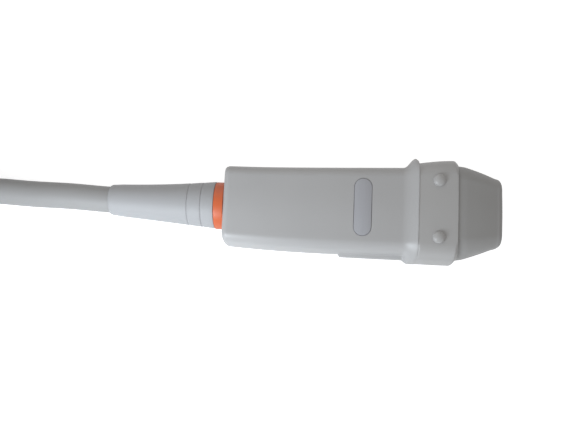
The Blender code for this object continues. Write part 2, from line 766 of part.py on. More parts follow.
def build_stack(group, axis, finishes):
    """Lens, matching layers, diced element bar, backing block and the carrier ring round it."""
    lens_front = NOSE_END + LENS_PROUD
    lens_back = NOSE_END - NOSE_FRONT_WALL - CLEAR
    rings = [
        lens_ring(lens_back),
        lens_ring(lens_front - LENS_EDGE),
        lens_ring(lens_front, -LENS_EDGE),
    ]
    place(loft("acoustic_lens", rings, capped=True), group, finishes["lens"], axis)
    half_width, half_thickness = LENS_WIDTH / 2, LENS_THICKNESS / 2
    front = lens_back - BOND
    for name in ("outer_matching_layer", "inner_matching_layer"):
        low = (front - MATCHING_LAYER, -half_width, -half_thickness)
        layer = box(name, low, (front, half_width, half_thickness))
        place(layer, group, finishes["matching"], axis)
        front -= MATCHING_LAYER + BOND
    back = front - ELEMENT_DEPTH - ELEMENT_BASE
    outline = comb(front, back, back + ELEMENT_BASE, half_width, ELEMENT_COUNT, KERF)
    place(flat_outline("element_array", outline, LENS_THICKNESS), group, finishes["element"], axis)
    backing_end = back - BOND
    backing_start = backing_end - BACKING_LENGTH
    block = box("backing_block", (backing_start, -half_width, -half_thickness),
                (backing_end, half_width, half_thickness))
    place(block, group, finishes["backing"], axis)
    carrier_start = backing_start + (BACKING_LENGTH - CARRIER_LENGTH) / 2
    carrier_end = carrier_start + CARRIER_LENGTH
    hollow = 3 * BOND + FLEX_THICKNESS
    inner = lens_ring(carrier_start, hollow)
    rings = [nose_inner_ring(carrier_start, CLEAR), nose_inner_ring(carrier_end, CLEAR)]
    rings += [inner._replace(s=carrier_end), inner]
    place(loft("array_carrier", rings), group, finishes["carrier"], axis)
    return front - ELEMENT_DEPTH / 2, backing_start


def build_electronics(group, axis, finishes, flex_front, backing_start):
    """Chassis plate, then on each side a spacer, a board, its flexible circuit and coax bundle."""
    shield_depth = CLEAR
    inside_depth = CLEAR + SHIELD_THICKNESS + CLEAR
    shield_end = SPIGOT_START - CLEAR
    shield_start = FERRULE_START
    rings = []
    for s, depth in (
        (shield_start, shield_depth),
        (shield_end, shield_depth),
        (shield_end, shield_depth + SHIELD_THICKNESS),
        (shield_start, shield_depth + SHIELD_THICKNESS),
    ):
        corner = max(GRIP_CORNER - GRIP_WALL - depth, CLEAR)
        rings.append(Ring(s, *inner_half(s, depth), corner, GRIP_LEAN))
    place(loft("shield_sleeve", rings), group, finishes["copper"], axis)

    chassis_end = shield_end
    outline = []
    for s, side in ((CHASSIS_START, -1), (chassis_end, -1), (chassis_end, 1), (CHASSIS_START, 1)):
        outline.append((s, side * inner_half(s, inside_depth)[0]))
    chassis = flat_outline("chassis_plate", outline, CHASSIS_THICKNESS)
    place(chassis, group, finishes["steel"], axis)

    board_end = chassis_end - BOARD_SETBACK
    board_start = board_end - BOARD_LENGTH
    spacer_low = CHASSIS_THICKNESS / 2 + CLEAR
    board_low = spacer_low + SPACER_HEIGHT + CLEAR
    board_high = board_low + BOARD_THICKNESS
    flex_inner = LENS_THICKNESS / 2 + BOND
    lap_height = board_high + CLEAR
    for word, side in (("upper", 1), ("lower", -1)):
        for place_word, s in (("front", board_end - SPACER_LENGTH), ("rear", board_start)):
            reach = inner_half(s, inside_depth + BOARD_INSET)[0]
            ends = sorted((side * spacer_low, side * (spacer_low + SPACER_HEIGHT)))
            low, high = (s, -reach, ends[0]), (s + SPACER_LENGTH, reach, ends[1])
            spacer = box(f"{word}_{place_word}_spacer", low, high)
            place(spacer, group, finishes["spacer"], axis)
        outline = []
        for s, hand in ((board_start, -1), (board_end, -1), (board_end, 1), (board_start, 1)):
            outline.append((s, hand * inner_half(s, inside_depth + BOARD_INSET)[0]))
        board = flat_outline(f"{word}_board", outline, BOARD_THICKNESS)
        place(board, group, finishes["board"], axis).location.z = side * (board_low + board_high) / 2
        low_side = [
            (flex_front, flex_inner),
            (backing_start, flex_inner),
            (board_end + BOARD_SETBACK, lap_height),
            (board_end - FLEX_LAP, lap_height),
        ]
        high_side = [(s, z + FLEX_THICKNESS) for s, z in reversed(low_side)]
        outline = [(s, side * z) for s, z in low_side + high_side]
        flex = flat_outline(f"{word}_flex_circuit", outline, FLEX_WIDTH)
        place(flex, group, finishes["flex"], axis).rotation_euler.x = math.pi / 2
        radius = BUNDLE_DIAMETER / 2
        on_board = board_high + CLEAR + radius
        cable_end = FERRULE_START + FERRULE_LENGTH
        route = [
            (board_start + BUNDLE_LAP, 0, side * on_board),
            (board_start, 0, side * on_board),
            (mix(cable_end, board_start, 0.5), 0, side * mix(radius, on_board, 0.5)),
            (cable_end + CLEAR, 0, side * (radius + CLEAR / 2)),
        ]
        bundle = tube(f"{word}_coax_bundle", smooth_route(route, BUNDLE_DIAMETER), BUNDLE_DIAMETER)
        place(bundle, group, finishes["coax"], axis)


def build_rear(group, axis, ring_finish, boot_finish, metal):
    """Identification ring, strain relief and crimp ferrule behind and inside the rear wall."""
    ring = sleeve("id_ring", -ID_RING_LENGTH, -CLEAR, NECK_HOLE / 2, ID_RING_DIAMETER / 2, CLEAR)
    place(ring, group, ring_finish, axis)
    root = ID_RING_LENGTH + CLEAR
    rings = boot_rings(BOOT_LENGTH, BOOT_TIP_DIAMETER, BOOT_SET, REAR_WALL, root)
    place(loft("strain_relief", rings), group, boot_finish, axis)
    ferrule_end = FERRULE_START + FERRULE_LENGTH
    bore, outside = CABLE_BORE / 2, FERRULE_DIAMETER / 2
    ferrule = sleeve("crimp_ferrule", FERRULE_START, ferrule_end, bore, outside, CLEAR)
    place(ferrule, group, metal, axis)


def side_points(objects):
    """Every point of these objects, in world space."""
    bpy.context.view_layer.update()
    graph = bpy.context.evaluated_depsgraph_get()
    found = []
    for obj in objects:
        evaluated = obj.evaluated_get(graph)
        mesh = evaluated.to_mesh()
        found += [evaluated.matrix_world @ vertex.co for vertex in mesh.vertices]
        evaluated.to_mesh_clear()
    return np.array(found)


def resting_tilt(points):
    """The pitch that lays the lower side on a table, with the weight over the middle."""
    chain = []
    for x, z in sorted({(round(p[0], 6), round(p[2], 6)) for p in points}):
        while len(chain) > 1:
            (ax, az), (bx, bz) = chain[-2:]
            if (bx - ax) * (z - az) - (bz - az) * (x - ax) > 0:
                break
            chain.pop()
        chain.append((x, z))
    balance = points[:, 0].mean()
    for (ax, az), (bx, bz) in zip(chain, chain[1:]):
        if ax <= balance <= bx:
            return math.atan2(bz - az, bx - ax)
    raise ValueError("the probe has nothing to rest on")


def lay_down(axis, objects):
    """Tips the probe onto the table and centres it over the origin."""
    axis.rotation_euler.y = resting_tilt(side_points(objects))
    points = side_points(objects)
    low, high = points.min(axis=0), points.max(axis=0)
    middle = (low + high) / 2
    axis.location = (-middle[0], -middle[1], -low[2])
    bpy.context.view_layer.update()


def build_coil(group, finish):
    """The coiled length, as the turned ring that its turns fill."""
    edge = CABLE_DIAMETER * COIL_ROUNDING
    profile = [
        (COIL_RADIUS - edge, COIL_HEIGHT),
        (COIL_RADIUS, COIL_HEIGHT - edge),
        (COIL_RADIUS, edge),
        (COIL_RADIUS - edge, 0.0),
        (COIL_HOLE + edge, 0.0),
        (COIL_HOLE, edge),
        (COIL_HOLE, COIL_HEIGHT - edge),
        (COIL_HOLE + edge, COIL_HEIGHT),
    ]
    mesh = bpy.data.meshes.new("cable_coil")
    edges = [(i, (i + 1) % len(profile)) for i in range(len(profile))]
    mesh.from_pydata([(x, 0, z) for x, z in profile], edges, [])
    coil = bpy.data.objects.new("cable_coil", mesh)
    coil.location = (*COIL_CENTRE, 0)
    turn = coil.modifiers.new("turn", "SCREW")
    turn.angle = 2 * math.pi
    turn.steps = turn.render_steps = 48
    turn.use_merge_vertices = True
    turn.merge_threshold = 1e-6
    place(coil, group, finish)


def build_lead(group, axis, finish):
    """The cable from its crimp in the grip, out through the boot and along the table to the coil."""
    radius = CABLE_DIAMETER / 2
    tip = -ID_RING_LENGTH - CLEAR - BOOT_LENGTH
    inner_end = FERRULE_START + FERRULE_LENGTH - CLEAR
    inside = []
    for s in (inner_end, 0.0, tip * 0.5, tip):
        share = max(0.0, (-ID_RING_LENGTH - CLEAR - s) / BOOT_LENGTH)
        inside.append(axis.matrix_world @ Vector((s, BOOT_SET * share**2, 0)))
    route = inside + [(x, y, radius + lift) for x, y, lift in TABLE_ROUTE]
    stretch = 16
    fine = smooth_route(route, CABLE_DIAMETER * 2 / stretch)
    chord = (fine[stretch:] - fine[:-stretch])[:, :2]
    across = np.stack([-chord[:, 1], chord[:, 0]], 1) / np.hypot(*chord.T)[:, None]
    ends = fine[stretch:, :2] - COIL_CENTRE
    away = np.min([np.hypot(*(ends + side * radius * across).T) for side in (-1, 0, 1)], axis=0)
    last = np.flatnonzero(away >= COIL_RADIUS + CLEAR)[-1] + stretch
    kept = range(last, stretch // 2, -stretch)
    place(tube("cable_lead", [fine[0], *fine[kept][::-1]], CABLE_DIAMETER), group, finish)


def build_tail(group, finish, connector):
    """The cable's last stretch: along the top of the coil and up into the connector."""
    low = COIL_HEIGHT + CLEAR + CABLE_DIAMETER / 2
    centre = Vector((*COIL_CENTRE, 0))
    inward = OUTER_TURN - LAST_BEND
    bend = centre + inward * Vector((math.cos(LEAVING_ANGLE), math.sin(LEAVING_ANGLE), 0))
    route = []
    for share in (0.0, 0.25, 0.5, 0.75):
        angle = mix(TAIL_START_ANGLE, LEAVING_ANGLE, share)
        route.append(centre + Vector((OUTER_TURN * math.cos(angle), OUTER_TURN * math.sin(angle), low)))
    exit_high = connector.location.z
    for step in range(7):
        share = step / 6
        angle = mix(LEAVING_ANGLE, -math.pi / 2, share)
        climb = 0.5 - 0.5 * math.cos(math.pi * share**LAST_CLIMB)
        height = mix(low, exit_high, climb)
        route.append(bend + Vector((LAST_BEND * math.cos(angle), LAST_BEND * math.sin(angle), height)))
    inner_end = Vector((CASE_WALL + BOOT_FLANGE_THICKNESS + 2 * CLEAR + FERRULE_LENGTH, CABLE_OFFSET, 0))
    for s in (-CLEAR, inner_end.x):
        route.append(connector.matrix_world @ Vector((s, CABLE_OFFSET, 0)))
    place(tube("cable_tail", smooth_route(route, CABLE_DIAMETER * 2), CABLE_DIAMETER), group, finish)


def connector_place():
    """Where the connector lies: on the coil, with its cable entry in line with the last bend."""
    inward = OUTER_TURN - LAST_BEND
    tip_x = COIL_CENTRE[0] + inward * math.cos(LEAVING_ANGLE)
    exit_y = COIL_CENTRE[1] + inward * math.sin(LEAVING_ANGLE) - LAST_BEND
    return Vector(
        (
            tip_x - CONNECTOR_BOOT_LENGTH - CLEAR,
            exit_y + CABLE_OFFSET,
            COIL_HEIGHT + CLEAR + CASE_HEIGHT / 2,
        )
    )


def case_ring(s, inset):
    return Ring(s, CASE_WIDTH / 2 - inset, CASE_HEIGHT / 2 - inset, max(CASE_CORNER - inset, CLEAR))


def rim_ring(s, inset):
    corner = FRAME_RIM_WALL + CLEAR - inset
    return Ring(s, FRAME_RIM_WIDTH / 2 - inset, FRAME_RIM_HEIGHT / 2 - inset, corner)


def build_connector(group, helpers, axis, finishes):
    """Case, mating frame, contact block, board, quarter-turn lock, strain relief and crimp."""
    rings = []
    for step in range(4):
        angle = step * math.pi / 6
        rings.append(case_ring(CASE_EDGE * (1 - math.cos(angle)), CASE_EDGE * (1 - math.sin(angle))))
    rings.append(case_ring(CASE_LENGTH, 0.0))
    case = place(loft("connector_case", rings, capped=True), group, finishes["case"], axis)
    rings = [case_ring(CASE_WALL, CASE_WALL), case_ring(CASE_LENGTH + CASE_WALL, CASE_WALL)]
    hollow = loft("case_hollow", rings, capped=True)
    shaft_hole = cylinder("shaft_hole", SHAFT_DIAMETER / 2 + CLEAR, -CASE_WALL, 2 * CASE_WALL)
    cable_hole = cylinder("cable_hole", NECK_HOLE / 2, -CASE_WALL, 2 * CASE_WALL)
    cable_hole.location.y = CABLE_OFFSET
    for cutter in (hollow, shaft_hole, cable_hole):
        place(cutter, helpers, None, axis)
        boolean(case, cutter, "DIFFERENCE")

    seat = CASE_LENGTH + CLEAR
    flange_end = seat + FRAME_FLANGE
    rim_end = flange_end + FRAME_RIM_LENGTH
    spigot_start = CASE_LENGTH - FRAME_SPIGOT
    inner = CASE_WALL + CLEAR
    rings = [case_ring(spigot_start, inner), case_ring(seat, inner), case_ring(seat, FRAME_INSET)]
    rings += [case_ring(flange_end, FRAME_INSET), rim_ring(flange_end, 0.0), rim_ring(rim_end, 0.0)]
    rings += [rim_ring(rim_end, FRAME_RIM_WALL), rim_ring(spigot_start, FRAME_RIM_WALL)]
    place(loft("mating_frame", rings), group, finishes["metal"], axis)

    block_front = rim_end - CONTACT_RECESS
    block_back = block_front - CONTACT_BLOCK_LENGTH
    half_width = FRAME_RIM_WIDTH / 2 - FRAME_RIM_WALL - CLEAR
    height = FRAME_RIM_HEIGHT - 2 * FRAME_RIM_WALL - 2 * CLEAR
    groove_base = block_front - CONTACT_GROOVE
    outline = comb(block_front, block_back, groove_base, half_width, CONTACT_COUNT, CONTACT_GROOVE)
    flat = flat_outline("contact_block_outline", outline, height)
    helpers.objects.link(flat)
    bpy.context.view_layer.update()
    mesh = bpy.data.meshes.new_from_object(flat.evaluated_get(bpy.context.evaluated_depsgraph_get()))
    bpy.data.objects.remove(flat)
    bm = bmesh.new()
    bm.from_mesh(mesh)
    bpy.data.meshes.remove(mesh)
    block = place(mesh_object("contact_block", bm), group, finishes["contact"], axis)
    board_front = block_back - CLEAR
    board_back = board_front - 2 * BOARD_THICKNESS
    board = box(
        "connector_board",
        (board_back, -CASE_WIDTH / 2 + inner, -CASE_HEIGHT / 2 + CASE_CORNER),
        (board_front, CASE_WIDTH / 2 - inner, CASE_HEIGHT / 2 - CASE_CORNER),
    )
    place(board, group, finishes["board"], axis)
    passage_radius = SHAFT_DIAMETER / 2 + CLEAR
    passage = cylinder("shaft_passage", passage_radius, board_back - CASE_WALL, rim_end + CASE_WALL)
    place(passage, helpers, None, axis)
    boolean(block, passage, "DIFFERENCE")
    boolean(board, passage, "DIFFERENCE")

    key_start = block_front + CLEAR
    shaft = cylinder("lock_shaft", SHAFT_DIAMETER / 2, -KNOB_SOCKET, key_start + KEY_THICKNESS)
    place(shaft, group, finishes["metal"], axis)
    key = box("key_shape", (key_start, -KEY_LENGTH / 2, -KEY_WIDTH / 2),
              (key_start + KEY_THICKNESS, KEY_LENGTH / 2, KEY_WIDTH / 2))
    place(key, helpers, None, axis)
    boolean(shaft, key, "UNION")

    knob = cylinder("lock_knob", KNOB_DIAMETER / 2, -CLEAR - KNOB_BASE, -CLEAR)
    place(knob, group, finishes["knob"], axis)
    reach = KNOB_DIAMETER / 2 - CLEAR
    low = (-CLEAR - KNOB_HEIGHT, -reach, -KNOB_GRIP / 2)
    high = (-CLEAR - KNOB_BASE / 2, reach, KNOB_GRIP / 2)
    grip = box("knob_grip", low, high, KNOB_GRIP_EDGE)
    socket_end = -CLEAR - KNOB_SOCKET
    socket = cylinder("knob_socket", SHAFT_DIAMETER / 2 + CLEAR, socket_end, CLEAR)
    hub_radius = SHAFT_DIAMETER / 2 + KNOB_HUB_WALL
    hub = cylinder("knob_hub", hub_radius, socket_end - KNOB_HUB_WALL, -2 * CLEAR)
    for helper in (grip, hub, socket):
        place(helper, helpers, None, axis)
    boolean(knob, grip, "UNION")
    boolean(knob, hub, "UNION")
    boolean(knob, socket, "DIFFERENCE")

    rings = boot_rings(CONNECTOR_BOOT_LENGTH, BOOT_TIP_DIAMETER, 0.0, CASE_WALL, CLEAR)
    boot = place(loft("connector_boot", rings), group, finishes["boot"], axis)
    boot.location.y = CABLE_OFFSET
    crimp_start = CASE_WALL + BOOT_FLANGE_THICKNESS + 2 * CLEAR
    crimp = sleeve("connector_ferrule", crimp_start, crimp_start + FERRULE_LENGTH, CABLE_BORE / 2,
                   FERRULE_DIAMETER / 2, CLEAR)
    place(crimp, group, finishes["metal"], axis).location.y = CABLE_OFFSET
    wires_start = crimp_start + FERRULE_LENGTH + 2 * CLEAR
    wires_end = board_back - CLEAR
    landing = CABLE_OFFSET - WIRING_STEP
    route = [
        (wires_start, CABLE_OFFSET, 0),
        (mix(wires_start, wires_end, 0.3), CABLE_OFFSET, 0),
        (mix(wires_start, wires_end, 0.7), landing, 0),
        (wires_end, landing, 0),
    ]
    wiring = tube("connector_wiring", smooth_route(route, WIRING_DIAMETER), WIRING_DIAMETER)
    place(wiring, group, finishes["coax"], axis)


def main():
    for obj in list(bpy.data.objects):
        bpy.data.objects.remove(obj)
    scene = bpy.context.scene
    group = bpy.data.collections.new("ultrasound_probe")
    helpers = bpy.data.collections.new("cutters")
    scene.collection.children.link(group)
    scene.collection.children.link(helpers)

    grey = new_material("grip_plastic", (0.40, 0.40, 0.41), 0.45)
    nose = new_material("nose_plastic", (0.24, 0.24, 0.235), 0.45)
    rubber = new_material("boot_rubber", (0.42, 0.43, 0.44), 0.6)
    orange = new_material("ring_orange", (0.80, 0.20, 0.08), 0.5)
    jacket = new_material("cable_jacket", (0.38, 0.38, 0.38), 0.6)
    steel = new_material("steel", (0.62, 0.62, 0.64), 0.3, 1.0)
    copper = new_material("copper_foil", (0.80, 0.45, 0.28), 0.35, 1.0)
    badge = new_material("badge_plastic", (0.32, 0.325, 0.34), 0.4)
    seal = new_material("seal_rubber", (0.05, 0.05, 0.055), 0.7)
    board = new_material("circuit_board", (0.02, 0.16, 0.07), 0.5)
    coax = new_material("coax_bundle", (0.10, 0.12, 0.30), 0.6)
    stack = {
        "lens": new_material("lens_rubber", (0.10, 0.11, 0.13), 0.4),
        "matching": new_material("matching_epoxy", (0.45, 0.30, 0.12), 0.5),
        "element": new_material("piezo_ceramic", (0.70, 0.62, 0.42), 0.6),
        "backing": new_material("backing_epoxy", (0.07, 0.07, 0.08), 0.7),
        "carrier": new_material("carrier_plastic", (0.60, 0.58, 0.52), 0.5),
    }
    inside = {
        "copper": copper,
        "steel": steel,
        "board": board,
        "coax": coax,
        "spacer": new_material("spacer_plastic", (0.12, 0.12, 0.12), 0.5),
        "flex": new_material("flex_film", (0.70, 0.35, 0.08), 0.4),
    }
    far_end = {
        "case": new_material("connector_plastic", (0.36, 0.36, 0.37), 0.5),
        "metal": steel,
        "contact": new_material("contact_plastic", (0.06, 0.06, 0.06), 0.5),
        "board": board,
        "knob": new_material("knob_plastic", (0.10, 0.10, 0.11), 0.5),
        "boot": rubber,
        "coax": coax,
    }

    axis = bpy.data.objects.new("probe_axis", None)
    group.objects.link(axis)
    build_shells(group, helpers, axis, grey)
    build_badge(group, axis, badge)
    build_head(group, helpers, axis, grey, nose)
    build_gasket(group, axis, seal)
    flex_front, backing_start = build_stack(group, axis, stack)
    build_electronics(group, axis, inside, flex_front, backing_start)
    build_rear(group, axis, orange, rubber, steel)
    lay_down(axis, [obj for obj in group.objects if obj.type != "EMPTY"])

    connector = bpy.data.objects.new("connector_axis", None)
    group.objects.link(connector)
    connector.location = connector_place()
    connector.rotation_euler.z = math.pi
    build_connector(group, helpers, connector, far_end)
    bpy.context.view_layer.update()
    build_lead(group, axis, jacket)
    build_coil(group, jacket)
    build_tail(group, jacket, connector)


main()
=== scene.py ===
"""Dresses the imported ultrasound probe: smooth shells, head, strain reliefs, cable and connector.

Metres throughout. The probe's own pieces are drawn along its axis, s from the back face of the
grip towards the lens, y across the width and z through the thickness, and then laid where the
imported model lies. The connector's pieces are drawn the same way, x from its back wall forwards.
"""

import json
import math
from typing import NamedTuple

import bmesh
import bpy
import numpy as np
from bpy.props import FloatProperty, FloatVectorProperty, PointerProperty
from mathutils import Matrix, Vector


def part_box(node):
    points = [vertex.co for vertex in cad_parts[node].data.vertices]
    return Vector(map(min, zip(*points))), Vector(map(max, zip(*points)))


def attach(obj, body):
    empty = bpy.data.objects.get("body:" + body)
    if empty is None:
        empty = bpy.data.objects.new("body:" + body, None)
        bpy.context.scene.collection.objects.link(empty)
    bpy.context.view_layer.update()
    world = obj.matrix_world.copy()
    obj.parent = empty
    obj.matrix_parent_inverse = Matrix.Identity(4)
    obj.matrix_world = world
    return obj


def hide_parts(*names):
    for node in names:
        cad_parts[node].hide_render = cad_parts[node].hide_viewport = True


bl_info = {
    "name": "Ultrasound probe",
    "version": (1, 0, 0),
    "blender": (4, 5, 0),
    "location": "3D View > Sidebar > Probe",
    "description": "Dresses a hand-held ultrasound probe with its cable and connector",
    "category": "Add Mesh",
}

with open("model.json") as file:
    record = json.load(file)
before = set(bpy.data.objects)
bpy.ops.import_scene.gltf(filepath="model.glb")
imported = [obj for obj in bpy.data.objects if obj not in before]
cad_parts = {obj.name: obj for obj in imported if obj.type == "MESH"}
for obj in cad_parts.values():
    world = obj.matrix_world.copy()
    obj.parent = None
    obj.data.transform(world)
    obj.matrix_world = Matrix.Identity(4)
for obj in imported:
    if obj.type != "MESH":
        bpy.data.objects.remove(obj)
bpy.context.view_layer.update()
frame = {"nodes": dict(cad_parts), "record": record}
RECORD = frame["record"]

CLEAR = 0.0003
SEAM = 0.00006
# How far the collar reaches under the crest of the finger stop
UNDERCUT = 0.0002
RADIAL_STEPS = 96
SHARP_ANGLE = 30.0
REPEATED_SHARP_ANGLE = 40.0
TURNED_SHARP_ANGLE = 50.0
PICTURE_WIDTH = 577

# The photograph's viewpoint: elevation, azimuth and roll in degrees, and its place
VIEW_ANGLES = (82.037, 2.167, 0.422)
VIEW_PLACE = (-0.00263, -0.03308, 0.22545)
# Each lamp's place, width and colour; they shine at the middle of the probe
LAMPS = {
    "key": ((-0.085, -0.095, 0.086), 0.08, (0.86, 0.93, 1.0)),
    "near": ((0.080, -0.180, 0.045), 0.10, (0.88, 0.94, 1.0)),
    "side": ((-0.08, 0.28, 0.16), 0.30, (1.0, 1.0, 1.0)),
}
LAMP_TARGET = Vector((0.0, 0.0, 0.01))
# How far the floor lies below the pieces, and half its width
FLOOR_DROP = 0.00005
FLOOR_REACH = 3.0

# Strain relief: wall of its neck, its flange behind the wall that it clips into, its two grooves
NECK_WALL = 0.0012
FLANGE = 0.0009
FLANGE_START, FLANGE_END = 0.0023, 0.0035
GROOVE_PLACES = (0.0038, 0.0081)
# How far the probe's strain relief sits sideways at its root
ROOT_SET = 0.00015
# Inside of the grip's back wall, from its back face
REAR_WALL = 0.0020
# How far the badge lies below the grip's face, and the radius round it
BADGE_EDGE = 0.0001
# Collar: the step inside it, its sleeve's wall and the gasket's groove
COLLAR_STEP = 0.0013
SLEEVE_WALL = 0.0021
GASKET_WIDTH, GASKET_DEPTH = 0.0012, 0.0005
# Lens: depth of its seat in the nose and radius of its edge
LENS_SEAT = 0.0015
LENS_EDGE = 0.0003
# How far a cutter reaches past what it cuts
CUT_MARGIN = 0.0010
# Connector: the metal plate on the case, its sleeve, the contact block inside its rim, the screws
PLATE, PLATE_INSET, PLATE_SLEEVE = 0.0015, 0.0006, 0.0040
CONTACT_SET, CONTACT_LENGTH = 0.0020, 0.0120
SCREW_MARGIN_ACROSS, SCREW_MARGIN_UP = 0.0090, 0.0078
# Radius of a turned profile's points on its axis
AXIS = 0.00001
# Lock: its knob, the key at the end of its shaft, and the flutes round its knob
KNOB_BORE, KNOB_COLLAR, KNOB_STEM, KNOB_TAPER = 0.0060, 0.0050, 0.0014, 0.0006
KEY_LENGTH, KEY_REACH, KEY_HALF = 0.0011, 0.0055, 0.0014
FLUTE_PLACE, FLUTE_SET = -0.0018, 0.0002
# Roundings along the collar's rim, the nose's shoulder, strain reliefs, connector and lock
RIM_SOFTNESS, NOSE_ROUND, BOOT_ROUND = 0.0004, 0.0012, 0.00022
MOUTH_EDGE, MOUTH_ROUND, RIM_ROUND = 0.0004, 0.0003, 0.0002
KNOB_ROUND, SHAFT_ROUND, GRIP_BEVEL, KEY_BEVEL = 0.0004, 0.0003, 0.0012, 0.0002
# Cable: how far it reaches into each ferrule, and the spacing of the points along it
GRIP_CRIMP, CONNECTOR_CRIMP = 0.0074, 0.0077
PATH_SPACING = 0.004


def mount(name):
    return next(item for item in RECORD["mounts"] if item["name"] == name)


def height_of(node):
    low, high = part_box(node)
    return high[2] - low[2]


# ---------------------------------------------------------------- sizes and colours


def size(default, description):
    return FloatProperty(
        description=description, default=default, min=0.0, precision=5,
        subtype="DISTANCE", unit="LENGTH",
    )


def paint(default, description):
    return FloatVectorProperty(
        description=description, default=default, min=0.0, max=1.0, size=3, subtype="COLOR"
    )


def power(default, description):
    return FloatProperty(
        description=description, default=default, min=0.0, subtype="POWER", unit="POWER"
    )


class GripSizes(bpy.types.PropertyGroup):
    length: size(0.0552, "From the back face to the start of the finger stop")
    rear_width: size(0.0251, "Across the narrow sides at the back")
    front_width: size(0.0276, "Across the narrow sides at the finger stop")
    bulge: size(0.0002, "How far the sides swell at half length")
    bow: size(0.00048, "How far the outside bows towards the rib's side")
    rear_thickness: size(0.0172, "Through the broad faces at the back")
    front_thickness: size(0.0176, "Through the broad faces at the finger stop")
    corner: size(0.0026, "Radius between a side and a broad face")
    rear_lean: size(0.0014, "How far the sides lean in to the broad faces at the back")
    front_lean: size(0.0017, "How far they lean in at the finger stop")
    crown: size(0.0003, "How far the broad faces swell")
    wall: size(0.0016, "Thickness of the shells")
    rear_edge: size(0.0018, "Radius round the back face")
    rear_set: size(0.0004, "How far forward the back face sits")
    seam: size(0.0002, "Gap between the two half shells")
    rib_start: size(0.0362, "Where the orientation rib begins")
    rib_height: size(0.0009, "How far the orientation rib stands out")
    rib_growth: size(0.0003, "How much higher the rib gets towards the finger stop")
    rib_width: size(0.0036, "Width of the orientation rib at its foot")
    rib_slope: size(0.0007, "Width of the orientation rib's slopes")
    badge_place: size(0.0433, "Middle of the bare badge along the grip")
    badge_span: size(0.0175, "Length of the bare badge across the grip")
    badge_width: size(0.0053, "Width of the bare badge")
    badge_depth: size(0.0005, "Thickness of the bare badge")


class HeadSizes(bpy.types.PropertyGroup):
    stop_rise: size(0.0047, "Length of the finger stop's slope")
    stop_width: size(0.0328, "Across the finger stop's ridge")
    stop_thickness: size(0.0220, "Through the finger stop's ridge")
    stop_corner: size(0.0052, "Corner radius of the finger stop")
    stop_offset: size(0.0003, "How far the ridge reaches away from the rib")
    crest: size(0.88, "Where the ridge is widest, as a share of its rise")
    crest_fall: size(0.16, "Share of its rise that the ridge loses from there to its edge")
    crest_drop: size(0.0005, "Length of the drop behind the ridge at the sides")
    lip_length: size(0.0011, "From the ridge to the collar")
    skirt: size(0.0003, "Thickness of the collar's skirt over the shells")
    near_start: size(0.0006, "Where the stop's slope on the rib's side begins, from its foot")
    near_rise: size(0.0020, "Length of the stop's slope on the rib's side")
    collar_length: size(0.0110, "Length of the collar with its chamfer")
    collar_rear_width: size(0.0314, "Across the collar at the finger stop")
    collar_front_width: size(0.0324, "Across the collar at its chamfer")
    collar_rear_thickness: size(0.02175, "Through the collar at its back")
    collar_front_thickness: size(0.0220, "Through the collar in front")
    collar_skew: size(0.0003, "Sideways offset of the collar's back, towards the rib")
    collar_lead: size(0.0001, "Sideways offset of the collar's front, away from the rib")
    collar_corner: size(0.0042, "Corner radius of the collar")
    collar_lean: size(0.0020, "How far the collar's sides lean in")
    chamfer: size(0.0015, "Depth of the collar's front chamfer")
    chamfer_length: size(0.00135, "Length of the collar's front chamfer")
    face_step: size(0.0002, "Height of the collar's rim over the nose on the broad faces")
    rim_rake: size(0.0008, "How far the rim stands back in the middle of the broad faces")
    wall: size(0.0016, "Thickness of the collar at its front")
    spigot: size(0.0038, "Length of the sleeve that joins two pieces of the head")
    nub_radius: size(0.0019, "Radius of a locating nub")
    nub_height: size(0.00105, "How far a locating nub stands out")
    nub_spacing: size(0.0172, "Distance between the two nubs of a face")
    nub_setback: size(0.0046, "From the collar's back to its nubs")
    nose_length: size(0.01305, "From the collar to the front face")
    nose_shoulder: size(0.0018, "Length of the gentle part behind the taper")
    nose_drop: size(0.0003, "How far the gentle part narrows on each side")
    nose_bulge: size(0.00012, "How far the nose's taper swells at half length")
    rim_recess: size(0.0003, "How far the nose reaches under the collar's rim")
    nose_shift: size(0.00024, "Sideways offset of the nose, away from the rib")
    nose_swell: size(0.00015, "How much wider the nose is on each side than the collar's rim")
    nose_front_width: size(0.0217, "Across the front face before its edge")
    nose_front_thickness: size(0.0146, "Through the front face")
    nose_corner: size(0.0036, "Corner radius of the nose at its front")
    nose_rear_lean: size(0.0028, "How far the nose's sides lean in at its back")
    nose_front_lean: size(0.0006, "How far they lean in at its front")
    nose_edge: size(0.0018, "Radius round the front face")
    nose_wall: size(0.0013, "Thickness of the nose")
    lens_width: size(0.0160, "Width of the acoustic lens")
    lens_thickness: size(0.0094, "Height of the acoustic lens")
    lens_corner: size(0.0012, "Corner radius of the acoustic lens")
    lens_proud: size(0.00015, "How far the lens stands out of its window")


class CableSizes(bpy.types.PropertyGroup):
    diameter: size(height_of("cable_coil") / 2, "Cable, from the height of its two layers")
    length: size(1.8, "Real length of the cable")
    boot_length: size(0.0338, "Length of the strain relief on the probe")
    boot_trim: size(0.0007, "How much shorter its rounded tip looks")
    boot_root: size(0.0148, "Diameter of a strain relief at its wide end")
    boot_tip: size(0.0099, "Diameter of a strain relief at its tip")
    tip_round: size(0.0018, "Length of the rounding at a strain relief's tip")
    boot_waist: size(0.0002, "How far a strain relief draws in at half length")
    boot_set: size(0.0007, "How far the probe's strain relief has bent sideways")
    groove: size(0.0004, "Width and depth of a strain relief's grooves")
    ring_length: size(0.0033, "Length of the orange ring")
    ring_back: size(0.0027, "From the probe's origin to the orange ring's back")
    ring_diameter: size(0.0149, "Diameter of the orange ring")
    outer_turn: size(0.0509, "Radius of the coil's outer turns")
    last_bend: size(0.0340, "Radius of the bend from the coil to the connector")


